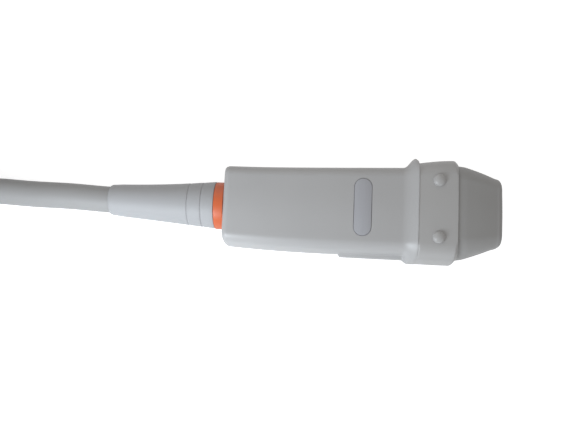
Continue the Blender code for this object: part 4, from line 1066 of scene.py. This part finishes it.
def boot_profile(length, root, sizes):
    """(x, r) of a strain relief that clips into a wall, with two grooves near its root."""
    bore = sizes.diameter / 2 + CLEAR
    neck = bore + NECK_WALL

    def radius_at(x):
        share = (-root - x) / length
        radius = mix(sizes.boot_root, sizes.boot_tip, share) / 2
        return radius - sizes.boot_waist * math.sin(math.pi * share)

    outside = [(FLANGE_END, bore), (FLANGE_END, neck + FLANGE), (FLANGE_START, neck + FLANGE)]
    outside += [(FLANGE_START, neck), (-root, neck), (-root, sizes.boot_root / 2)]
    groove = sizes.groove
    for start in (-root - distance for distance in GROOVE_PLACES):
        floor = radius_at(start) - groove / 2
        outside += [(start, radius_at(start)), (start - groove * 0.3, floor)]
        outside += [(start - groove * 0.7, floor), (start - groove, radius_at(start))]
    for x in (-root - length * share for share in (0.35, 0.5, 0.65, 0.8, 0.9)):
        outside.append((x, radius_at(x)))
    tip = -root - length
    for sine, cosine in quarter(6)[:-1]:
        outside.append((tip + sizes.tip_round * (1 - sine), mix(bore, sizes.boot_tip / 2, cosine)))
    outside += [(mix(tip, 0.0, share), bore) for share in (0.0, 0.3, 0.6)]
    return rounded_profile(outside, BOOT_ROUND)


# ---------------------------------------------------------------- operators


class StageOperator(bpy.types.Operator):
    """Sets the camera, the soft light and the pale floor"""

    bl_idname = "probe.stage"
    bl_label = "Stage"

    def execute(self, context):
        stage = settings("stage")
        scene = context.scene
        scene.view_settings.view_transform = "Standard"
        camera = bpy.data.objects.new("camera", bpy.data.cameras.new("camera"))
        camera.data.sensor_fit = "HORIZONTAL"
        camera.data.lens = camera.data.sensor_width * stage.focal / PICTURE_WIDTH
        camera.data.clip_start = 0.001
        camera.matrix_world = self.viewpoint()
        scene.collection.objects.link(camera)
        scene.camera = camera

        for name, (place, width, colour) in LAMPS.items():
            self.lamp(scene, name, Vector(place), width, getattr(stage, name), colour)
        self.world(scene, stage)
        self.floor(scene, stage)
        return {"FINISHED"}

    def lamp(self, scene, name, place, width, energy, colour):
        """A soft round lamp."""
        light = bpy.data.lights.new(name, "AREA")
        light.shape = "DISK"
        light.size = width
        light.energy = energy
        light.color = colour
        lamp = bpy.data.objects.new(name, light)
        lamp.location = place
        lamp.rotation_euler = (place - LAMP_TARGET).to_track_quat("Z", "Y").to_euler()
        lamp.visible_camera = False
        scene.collection.objects.link(lamp)

    def viewpoint(self):
        """The photograph's viewpoint: nearly straight down, from a little towards the viewer."""
        elevation, azimuth, roll = (math.radians(angle) for angle in VIEW_ANGLES)
        level = spoke(azimuth - math.pi / 2) * math.cos(elevation)
        back = level + Vector((0, 0, math.sin(elevation)))
        right = spoke(azimuth)
        turn = Matrix((right, back.cross(right), back)).transposed().to_4x4()
        return Matrix.Translation(VIEW_PLACE) @ turn @ Matrix.Rotation(roll, 4, "Z")

    def world(self, scene, stage):
        world = bpy.data.worlds.new("studio")
        scene.world = world
        world.use_nodes = True
        world.node_tree.nodes.clear()
        tree = Tree(world.node_tree)
        fill, white = (
            tree.node("ShaderNodeBackground", {}, {"Color": colour, "Strength": level})
            for colour, level in (((1.0, 0.985, 0.965, 1), stage.sky), ((1, 1, 1, 1), 1.0))
        )
        both = tree.node("ShaderNodeMixShader", {}, {0: in_view(tree, 0.5), 1: fill, 2: white})
        end = world.node_tree.nodes.new("ShaderNodeOutputWorld")
        tree.fill(end.inputs["Surface"], both)

    def floor(self, scene, stage):
        bm = bmesh.new()
        bmesh.ops.create_grid(bm, x_segments=8, y_segments=8, size=FLOOR_REACH)
        mesh = bpy.data.meshes.new("floor")
        bm.to_mesh(mesh)
        bm.free()
        mesh.transform(Matrix.Translation((0, 0, -FLOOR_DROP)))
        floor = bpy.data.objects.new("floor", mesh)
        scene.collection.objects.link(floor)
        look = Look("pale_floor", roughness=0.9)
        paper = look.noise(30.0, 3.0)
        colour = tuple(stage.floor)
        tone = look.blend(paper, shade(colour, 0.985), shade(colour, 1.015))
        look.set(base_color=tone, roughness=paper * 0.05 + 0.85)
        look.set(emission_color=(1.0, 1.0, 1.0, 1.0))
        lift = in_view(look, 0.4) * 0.70
        glow = look.node("ShaderNodeEmission", {}, {"Color": (1, 1, 1, 1), "Strength": lift})
        body = Socket(look, look.shader.outputs[0])
        both = look.node("ShaderNodeAddShader", {}, {0: body, 1: glow})
        look.fill(look.tree.nodes["Material Output"].inputs["Surface"], both)
        mesh.materials.append(look.material)


class CableOperator(bpy.types.Operator):
    """Makes the cable from the grip, along the table, round the coil and into the connector"""

    bl_idname = "probe.cable"
    bl_label = "Cable"

    def execute(self, context):
        sizes = settings("cable")
        path = smooth_path(cable_route(sizes), PATH_SPACING)
        path[:, 2] = np.maximum(path[:, 2], sizes.diameter / 2)
        jacket = rubber("cable_jacket_finish", settings("colours").cable, 0.55)
        cable = new_piece("cable", tube(path, sizes.diameter / 2), Matrix(), jacket, 60.0)
        settle(cable, "probe", "cable_jacket", "cable_lead", "cable_coil", "cable_tail")
        leaves = Places().matrix() @ Vector((-sizes.ring_length - CLEAR, 0, 0))
        return {"FINISHED"}


class GripOperator(bpy.types.Operator):
    """Makes the two half shells of the grip with the orientation rib and the finger stop"""

    bl_idname = "probe.grip"
    bl_label = "Grip"

    def execute(self, context):
        grip = settings("grip")
        matrix = Places().matrix()
        plastic = moulded("grip_finish", settings("colours").grip)
        rings = grip_rings()
        upper = new_piece("grip_upper_shell", skin(rings, 1), matrix, plastic)
        lower = new_piece("grip_lower_shell", skin(rings, -1), matrix, plastic)
        depth = grip.badge_depth + CLEAR
        span, width = grip.badge_span + 4 * SEAM, grip.badge_width + 4 * SEAM
        pocket = stadium(span, width, -depth, depth, BADGE_EDGE)
        combined(upper, pocket, matrix @ badge_matrix(), "DIFFERENCE")
        settle(upper, "probe", "grip_plastic", "upper_shell")
        settle(lower, "probe", "grip_plastic", "lower_shell")
        return {"FINISHED"}


def badge_matrix():
    grip = settings("grip")
    slope = math.atan2((grip.front_thickness - grip.rear_thickness) / 2, grip.length)
    height = grip_ring(grip.badge_place).half_thickness
    return Matrix.Translation((grip.badge_place, 0, height)) @ Matrix.Rotation(-slope, 4, "Y")


class BadgeOperator(bpy.types.Operator):
    """Makes the bare badge plate in its pocket"""

    bl_idname = "probe.badge"
    bl_label = "Badge"

    def execute(self, context):
        grip = settings("grip")
        plate = drawn_plate("badge_finish", settings("colours").badge)
        low, high = -grip.badge_depth, -BADGE_EDGE
        shape = stadium(grip.badge_span, grip.badge_width, low, high, BADGE_EDGE, 24)
        badge = new_piece("badge", shape, Places().matrix() @ badge_matrix(), plate)
        settle(badge, "probe", "badge_plastic", "badge_plate")
        return {"FINISHED"}


def drawn_plate(name, colour):
    """Satin plate with a faint brushed direction across the grip."""
    look = Look(name, metallic=0.15)
    lines = look.noise(1.0, 4.0, look.stretched((1800.0, 60.0, 1800.0)))
    slow = look.noise(90.0, 3.0)
    tone = look.blend(lines, shade(colour, 0.95), shade(colour, 1.05))
    tone = look.blend(slow * 0.2, tone, shade(colour, 1.1))
    rough = lines * 0.12 + 0.40
    return look.set(base_color=tone, roughness=rough, normal=look.bump(lines, 0.000004))


class CollarOperator(bpy.types.Operator):
    """Makes the collar between the finger stop and the nose, with its four locating nubs"""

    bl_idname = "probe.collar"
    bl_label = "Collar"

    def execute(self, context):
        head, places = settings("head"), Places()
        sleeve = places.collar_start - head.spigot
        shoulder = places.collar_start + COLLAR_STEP
        groove_start = sleeve + (head.spigot - GASKET_WIDTH) / 2 - CLEAR
        groove_end = groove_start + GASKET_WIDTH + 2 * CLEAR
        face, end = places.grip_end + SEAM, places.chamfer_start
        start = places.stop_top - UNDERCUT + SEAM
        swell = [collar_ring(mix(start, end, step / 12)) for step in range(1, 13)]
        outside = [collar_ring(face, head.skirt), collar_ring(start, head.skirt)]
        outside.append(crest_ring(0.0)._replace(s=start))
        outside += [crest_ring(step / 6) for step in range(7)] + swell[1:-1]
        recess = places.collar_end - head.rim_recess
        rim = rim_face(places.collar_end)
        brink = between(swell[-1], rim, 0.95)._replace(half_thickness=swell[-1].half_thickness)
        outside += softened([swell[-2], swell[-1], brink], RIM_SOFTNESS)[1:] + [rim]
        outside += [rim_face(places.collar_end, SEAM), rim_face(recess, SEAM), head_ring(recess)]
        rings = [bore_ring(sleeve, CLEAR), bore_ring(groove_start, CLEAR)]
        rings += [bore_ring(s, CLEAR + GASKET_DEPTH) for s in (groove_start, groove_end)]
        rings += [bore_ring(groove_end, CLEAR), bore_ring(face, CLEAR)]
        rings += outside + [head_ring(shoulder)]
        rings += [bore_ring(s, SLEEVE_WALL) for s in (shoulder, sleeve)]
        plastic = moulded("collar_finish", settings("colours").collar)
        collar = new_piece("collar", skin(rings), places.matrix(), plastic)
        settle(collar, "probe", "grip_plastic", "head_collar")
        settle(self.nubs(plastic, places), "probe", "grip_plastic")
        return {"FINISHED"}

    def nubs(self, plastic, places):
        head, grip = settings("head"), settings("grip")
        at = places.collar_start + head.nub_setback
        tree = Repeater(
            "collar_nubs", plastic, Radius=head.nub_radius, Height=head.nub_height + grip.crown,
            Spacing=head.nub_spacing, Level=collar_ring(at).half_thickness - grip.crown, Place=at,
        )
        radius = tree.value("Radius")
        sockets = {"Segments": 48, "Rings": 24, "Radius": 1.0}
        dome = tree.node("GeometryNodeMeshUVSphere", {}, sockets)
        dome = tree.placed(dome, Scale=tree.vector(radius, radius, tree.value("Height")))
        half = tree.value("Spacing") * 0.5
        start = tree.vector(tree.value("Place"), 0.0 - half, tree.value("Level"))
        step = tree.vector(0.0, tree.value("Spacing"), 0.0)
        sockets = {"Count": 2, "Start Location": start, "Offset": step}
        line = tree.node("GeometryNodeMeshLine", {"mode": "OFFSET"}, sockets)
        upper = tree.along(dome, line)
        lower = tree.placed(upper, Rotation=(math.pi, 0, 0))
        return tree.baked(tree.joined(upper, lower), places.matrix())


class NoseOperator(bpy.types.Operator):
    """Makes the tapering nose and the acoustic lens in its window"""

    bl_idname = "probe.nose"
    bl_label = "Nose and lens"

    def execute(self, context):
        head, places = settings("head"), Places()
        edge_start = places.nose_end - head.nose_edge
        shoulder_end = places.nose_start + head.nose_shoulder
        crown = settings("grip").crown
        rear = places.collar_end - head.rim_recess + SEAM
        base = rim_face(rear, 2 * SEAM)

        def outer(s, half_width, half_thickness):
            share = (s - places.nose_start) / (edge_start - places.nose_start)
            corner = mix(head.collar_corner, head.nose_corner, share)
            lean = mix(head.nose_rear_lean, head.nose_front_lean, share)
            ring = Ring(s, half_width, half_thickness, corner, lean, crown, shift=head.nose_shift)
            return ring._replace(rake=head.rim_rake * max(0.0, 1 - 2 * share))

        front_width, front_thickness = head.nose_front_width / 2, head.nose_front_thickness / 2
        drop = head.nose_drop
        run = [
            outer(rear, base.half_width, base.half_thickness),
            outer(shoulder_end, base.half_width - drop, base.half_thickness - drop),
            outer(edge_start, front_width, front_thickness),
        ]
        middle = []
        for share in (0.15, 0.3, 0.45, 0.6, 0.75, 0.9, 0.98):
            ring = between(run[1], run[2], share)
            bulge = head.nose_bulge * math.sin(math.pi * share)
            middle.append(outer(ring.s, ring.half_width + bulge, ring.half_thickness + bulge))
        outside = softened([run[0], run[1], middle[0]], NOSE_ROUND, 6)[:-1] + middle + [run[2]]
        for sine, cosine in quarter(8, 1):
            inset = head.nose_edge * (1 - cosine)
            front = run[2]._replace(s=edge_start + head.nose_edge * sine, rake=0.0)
            outside.append(
                front._replace(
                    half_width=front_width - inset, half_thickness=front_thickness - inset,
                    corner=max(head.nose_corner - inset, CLEAR),
                )
            )
        window = lens_ring(places.nose_end, CLEAR)
        cavity = places.nose_end - LENS_SEAT
        inner_front = Ring(
            cavity, front_width - head.nose_wall, front_thickness - head.nose_wall,
            max(head.nose_corner - head.nose_wall, CLEAR), head.nose_front_lean,
        )
        sleeve = places.nose_start - head.spigot
        depth = CLEAR + head.nose_wall
        rings = [head_ring(sleeve, CLEAR), head_ring(rear, CLEAR)]
        rings += outside + [window, window._replace(s=cavity), inner_front]
        rings += [head_ring(shoulder_end, depth), head_ring(sleeve, depth)]
        # The nose's darker grey is painted shade for its faces turned from the light
        plastic = moulded("nose_finish", settings("colours").nose, 0.5)
        nose = new_piece("nose", skin(rings), places.matrix(), plastic)
        settle(nose, "probe", "nose_plastic", "nose_case")

        edge = places.lens_front - LENS_EDGE
        face = [lens_ring(cavity - CLEAR), lens_ring(edge)]
        for sine, cosine in quarter(4, 1):
            face.append(lens_ring(edge + LENS_EDGE * sine, -LENS_EDGE * (1 - cosine)))
        silicone = lens_silicone("lens_finish", settings("colours").lens)
        lens = new_piece("lens", skin(face, capped=True), places.matrix(), silicone)
        settle(lens, "probe", "lens_rubber", "acoustic_lens")
        return {"FINISHED"}


class BootOperator(bpy.types.Operator):
    """Makes the probe's strain relief and the orange ring in front of it"""

    bl_idname = "probe.boot"
    bl_label = "Strain relief and ring"

    def execute(self, context):
        sizes = settings("cable")
        matrix = Places().matrix()
        root = sizes.ring_back + SEAM
        length = sizes.ring_length + CLEAR + sizes.boot_length - sizes.boot_trim - root

        def shift(x):
            share = max(0.0, (-root - x) / sizes.boot_length)
            return sizes.boot_set * share**2 + ROOT_SET * (1 - share)

        soft = rubber("boot_finish", settings("colours").boot)
        shape = turned(boot_profile(length, root, sizes), shift)
        boot = new_piece("boot", shape, matrix, soft, TURNED_SHARP_ANGLE)
        settle(boot, "probe", "boot_rubber", "strain_relief")

        bore, outside = neck_hole(), sizes.ring_diameter / 2
        start, end = -sizes.ring_back, settings("grip").rear_set - SEAM
        corners = [(start, bore), (start, outside), (end, outside), (end, bore)]
        profile = rounded_profile(corners, CLEAR, 5)
        orange = moulded("ring_finish", settings("colours").ring, 0.42, cloud=0.04)
        ring = new_piece("marking_ring", turned(profile), matrix, orange, TURNED_SHARP_ANGLE)
        settle(ring, "probe", "ring_orange", "id_ring")
        return {"FINISHED"}


def case_ring(x, inset):
    sizes = settings("connector")
    corner = max(sizes.case_corner - inset, CLEAR)
    return Ring(x, sizes.case_width / 2 - inset, sizes.case_height / 2 - inset, corner)


def rim_ring(x, inset):
    sizes = settings("connector")
    corner = sizes.rim_wall + CLEAR - inset
    return Ring(x, sizes.rim_width / 2 - inset, sizes.rim_height / 2 - inset, corner)


class ConnectorOperator(bpy.types.Operator):
    """Makes the connector's case, metal rim, contacts and strain relief"""

    bl_idname = "probe.connector"
    bl_label = "Connector"

    def execute(self, context):
        sizes, cable = settings("connector"), settings("cable")
        matrix = connector_matrix()
        aside = matrix @ Matrix.Translation((0, sizes.cable_offset, 0))
        end, wall = sizes.case_length, sizes.case_wall
        outside = []
        for sine, cosine in quarter(8):
            outside.append(case_ring(sizes.case_edge * (1 - cosine), sizes.case_edge * (1 - sine)))
        mouth = [outside[-1], case_ring(end - MOUTH_EDGE, 0.0), case_ring(end, MOUTH_EDGE)]
        outside += softened(mouth, MOUTH_ROUND)[1:]
        plastic = moulded("connector_finish", settings("colours").case, 0.6)
        case = new_piece("connector_housing", skin(outside, capped=True), matrix, plastic)
        hollow = skin([case_ring(wall, wall), case_ring(end + wall, wall)], capped=True)
        combined(case, hollow, matrix, "DIFFERENCE")
        bore = sizes.shaft / 2 + CLEAR
        combined(case, plug(bore, -wall, 2 * wall), matrix, "DIFFERENCE")
        combined(case, plug(neck_hole(), -wall, 2 * wall), aside, "DIFFERENCE")
        settle(case, "probe", "connector_plastic", "connector_case")

        steel = drawn_metal("rim_finish", (0.62, 0.62, 0.64))
        seat = end + CLEAR
        flange_end = seat + PLATE
        rim_end = flange_end + sizes.rim_length
        sleeve, inner = end - PLATE_SLEEVE, wall + CLEAR
        rings = [case_ring(sleeve, inner), case_ring(seat, inner), case_ring(seat, PLATE_INSET)]
        rings += [case_ring(flange_end, PLATE_INSET)]
        rings += [rim_ring(x, 0.0) for x in (flange_end, rim_end)]
        rings += [rim_ring(x, sizes.rim_wall) for x in (rim_end, sleeve)]
        rim = new_piece("connector_rim", skin(softened(rings, RIM_ROUND, 3)), matrix, steel)
        settle(rim, "probe", "steel", "mating_frame")

        half = sizes.rim_width / 2 - sizes.rim_wall - CLEAR
        tall = sizes.rim_height / 2 - sizes.rim_wall - CLEAR
        front = rim_end - CONTACT_SET
        back = front - CONTACT_LENGTH
        base = moulded("contact_finish", (0.055, 0.055, 0.06), 0.5)
        bar = solid_bar((back, -half, -tall), (front, half, tall), CLEAR)
        block = new_piece("connector_contacts", bar, matrix, base)
        cutter = plug(bore, back - CUT_MARGIN, front + CUT_MARGIN)
        combined(block, cutter, matrix, "DIFFERENCE")
        settle(block, "probe", "contact_plastic", "contact_block")
        self.pads(matrix, front)
        self.screws(matrix, flange_end, steel)

        soft = rubber("connector_boot_finish", settings("colours").boot)
        shape = turned(boot_profile(sizes.boot_length, CLEAR, cable))
        boot = new_piece("connector_strain_relief", shape, aside, soft, TURNED_SHARP_ANGLE)
        settle(boot, "probe", "boot_rubber", "connector_boot")
        return {"FINISHED"}

    def pads(self, matrix, front):
        """Rows of gilt contact pads on both sides of the lock's shaft."""
        gilt = drawn_metal("pad_finish", (0.78, 0.58, 0.26), 0.25, (500.0, 500.0, 500.0))
        tree = Repeater(
            "contact_pads", gilt, Columns=9, Rows=8, Wide=0.0140, Tall=0.0110, Gap=0.0125
        )
        size_of_pad = tree.vector(0.0003, 0.0009, 0.0007)
        pad = tree.node("GeometryNodeMeshCube", {}, {"Size": size_of_pad})
        grid = tree.node(
            "GeometryNodeMeshGrid", {},
            {"Size X": tree.value("Tall"), "Size Y": tree.value("Wide"),
             "Vertices X": tree.value("Rows"), "Vertices Y": tree.value("Columns")},
        )
        field = tree.along(pad, tree.placed(grid, Rotation=(0, math.pi / 2, 0)))
        gap = tree.value("Gap")
        one = tree.placed(field, Translation=tree.vector(front, gap, 0.0))
        other = tree.placed(field, Translation=tree.vector(front, 0.0 - gap, 0.0))
        settle(tree.baked(tree.joined(one, other), matrix), "probe", "steel")

    def screws(self, matrix, flange_end, steel):
        """Four countersunk screws in the corners of the metal flange."""
        sizes = settings("connector")
        across, up = sizes.case_width - SCREW_MARGIN_ACROSS, sizes.case_height - SCREW_MARGIN_UP
        tree = Repeater("rim_screws", steel, Across=across, Up=up, Head=0.0013)
        radius = tree.value("Head")
        head = tree.node(
            "GeometryNodeMeshCone", {},
            {"Vertices": 32, "Radius Top": radius, "Radius Bottom": radius * 0.7, "Depth": 0.0004},
            output="Mesh",
        )
        slot = tree.node("GeometryNodeMeshCube", {}, {"Size": (0.0020, 0.0004, 0.0004)})
        slot = tree.placed(slot, Translation=(0, 0, 0.0004))
        choices = {"operation": "DIFFERENCE"}
        cut = tree.node("GeometryNodeMeshBoolean", choices, {0: head, 1: slot}, output="Mesh")
        corners = tree.node(
            "GeometryNodeMeshGrid", {},
            {"Size X": tree.value("Up"), "Size Y": tree.value("Across"),
             "Vertices X": 2, "Vertices Y": 2},
        )
        ring = tree.placed(tree.along(cut, corners), Rotation=(0, math.pi / 2, 0))
        ring = tree.placed(ring, Translation=tree.vector(flange_end))
        settle(tree.baked(ring, matrix), "probe", "steel")


class LockOperator(bpy.types.Operator):
    """Makes the quarter-turn lock: its knob with flutes and its shaft with the key"""

    bl_idname = "probe.lock"
    bl_label = "Lock"

    def execute(self, context):
        sizes = settings("connector")
        matrix = connector_matrix()
        plastic = moulded("knob_finish", settings("colours").knob, 0.42)
        shaft, outside = sizes.shaft / 2 + CLEAR, sizes.knob_diameter / 2
        base = -CLEAR - sizes.knob_base
        stem, end, depth = shaft + KNOB_STEM, base - KNOB_COLLAR, -CLEAR - KNOB_BORE
        profile = [(-CLEAR, shaft), (-CLEAR, outside), (base, outside - KNOB_TAPER), (base, stem)]
        profile += [(end, stem), (end, AXIS), (depth, AXIS), (depth, shaft)]
        shape = turned(rounded_profile(profile, KNOB_ROUND))
        knob = new_piece("lock_turn_knob", shape, matrix, plastic)
        reach = outside - CLEAR
        low = (-CLEAR - sizes.knob_height, -reach, -sizes.knob_grip / 2)
        high = (-CLEAR - sizes.knob_base / 2, reach, sizes.knob_grip / 2)
        combined(knob, solid_bar(low, high, GRIP_BEVEL), matrix, "UNION")
        combined(knob, plug(shaft, depth, CLEAR), matrix, "DIFFERENCE")
        settle(knob, "lock", "knob_plastic", "lock_knob")
        settle(self.flutes(matrix, plastic, outside - FLUTE_SET), "lock", "knob_plastic")

        rim_end = sizes.case_length + CLEAR + PLATE + sizes.rim_length
        key_start = rim_end - CONTACT_SET + CLEAR
        key_end = key_start + KEY_LENGTH
        steel = drawn_metal("shaft_finish", (0.60, 0.60, 0.62))
        radius = sizes.shaft / 2
        profile = [(-KNOB_BORE, AXIS), (-KNOB_BORE, radius), (key_end, radius), (key_end, AXIS)]
        shape = turned(rounded_profile(profile, SHAFT_ROUND))
        rod = new_piece("lock_turn_shaft", shape, matrix, steel)
        low, high = (key_start, -KEY_REACH, -KEY_HALF), (key_end, KEY_REACH, KEY_HALF)
        key = solid_bar(low, high, KEY_BEVEL)
        combined(rod, key, matrix, "UNION")
        settle(rod, "lock", "steel", "lock_shaft")
        return {"FINISHED"}

    def flutes(self, matrix, plastic, radius):
        """A ring of small ribs round the knob's disc."""
        tree = Repeater("knob_flutes", plastic, Count=36, Radius=radius, Rib=0.00035, Depth=0.0022)
        sockets = {"Vertices": tree.value("Count"), "Radius": tree.value("Radius")}
        circle = tree.node("GeometryNodeMeshCircle", {}, sockets)
        sockets = {"Vertices": 10, "Radius": tree.value("Rib"), "Depth": tree.value("Depth")}
        rib = tree.node("GeometryNodeMeshCylinder", {}, sockets, output="Mesh")
        ring = tree.placed(tree.along(rib, circle), Rotation=(0, math.pi / 2, 0))
        return tree.baked(tree.placed(ring, Translation=(FLUTE_PLACE, 0, 0)), matrix)


class InsideOperator(bpy.types.Operator):
    """Gives the pieces inside the probe and the connector their finishes"""

    bl_idname = "probe.inside"
    bl_label = "Inside"

    def execute(self, context):
        film, film_gaps = (0.72, 0.36, 0.09), (0.45, 0.20, 0.05)
        wire, wire_gaps = (0.14, 0.17, 0.40), (0.05, 0.06, 0.16)
        ceramic, cuts = (0.72, 0.64, 0.44), (0.42, 0.36, 0.24)
        rows = (
            (rubber("gasket_finish", (0.05, 0.05, 0.055), 0.65), "head_gasket"),
            (cast_resin("matching_finish", (0.45, 0.30, 0.12)),
             "outer_matching_layer", "inner_matching_layer"),
            (striped("piezo_finish", ceramic, cuts, 4000.0, 0.5, 0.00002), "element_array"),
            (cast_resin("backing_finish", (0.07, 0.07, 0.08), 0.6), "backing_block"),
            (moulded("carrier_finish", (0.60, 0.58, 0.52)), "array_carrier"),
            (crumpled_foil("shield_finish", (0.80, 0.45, 0.28)), "shield_sleeve"),
            (drawn_metal("chassis_finish", (0.62, 0.62, 0.64)),
             "chassis_plate", "crimp_ferrule", "connector_ferrule"),
            (moulded("spacer_finish", (0.12, 0.12, 0.12)),
             "upper_front_spacer", "upper_rear_spacer", "lower_front_spacer", "lower_rear_spacer"),
            (traced_board("board_finish", (0.02, 0.16, 0.07), (0.04, 0.24, 0.11)),
             "upper_board", "lower_board", "connector_board"),
            (striped("flex_finish", film, film_gaps, 900.0, 0.3, 0.00001, metallic=0.4),
             "upper_flex_circuit", "lower_flex_circuit"),
            (striped("coax_finish", wire, wire_gaps, 700.0, 0.5, 0.0001, "Z"),
             "upper_coax_bundle", "lower_coax_bundle", "connector_wiring"),
        )
        for finish, *nodes in rows:
            for node in nodes:
                slots = frame["nodes"][node].material_slots
                if not slots:
                    raise RuntimeError(f"{node} has no material slot")
                for slot in slots:
                    slot.material = finish
        return {"FINISHED"}


OPERATORS = (
    StageOperator,
    GripOperator,
    BadgeOperator,
    CollarOperator,
    NoseOperator,
    BootOperator,
    ConnectorOperator,
    LockOperator,
    InsideOperator,
    CableOperator,
)


class ProbePanel(bpy.types.Panel):
    """Lists the pieces of the probe"""

    bl_idname = "PROBE_PT_pieces"
    bl_label = "Ultrasound probe"
    bl_space_type = "VIEW_3D"
    bl_region_type = "UI"
    bl_category = "Probe"

    def draw(self, context):
        for operator in OPERATORS:
            self.layout.operator(operator.bl_idname)
        for name, group in GROUPS.items():
            column = self.layout.column(heading=group.__name__)
            for key in group.__annotations__:
                label = key.replace("_", " ").capitalize()
                column.prop(getattr(context.scene, name), key, text=label)


CLASSES = (*GROUPS.values(), *OPERATORS, ProbePanel)


def register():
    for kind in CLASSES:
        bpy.utils.register_class(kind)
    for name, group in GROUPS.items():
        setattr(bpy.types.Scene, name, PointerProperty(type=group))


def unregister():
    for name in GROUPS:
        delattr(bpy.types.Scene, name)
    for kind in reversed(CLASSES):
        bpy.utils.unregister_class(kind)


def main():
    register()
    for operator in OPERATORS:
        getattr(bpy.ops.probe, operator.bl_idname.split(".")[1])()


if __name__ == "__main__":
    main()
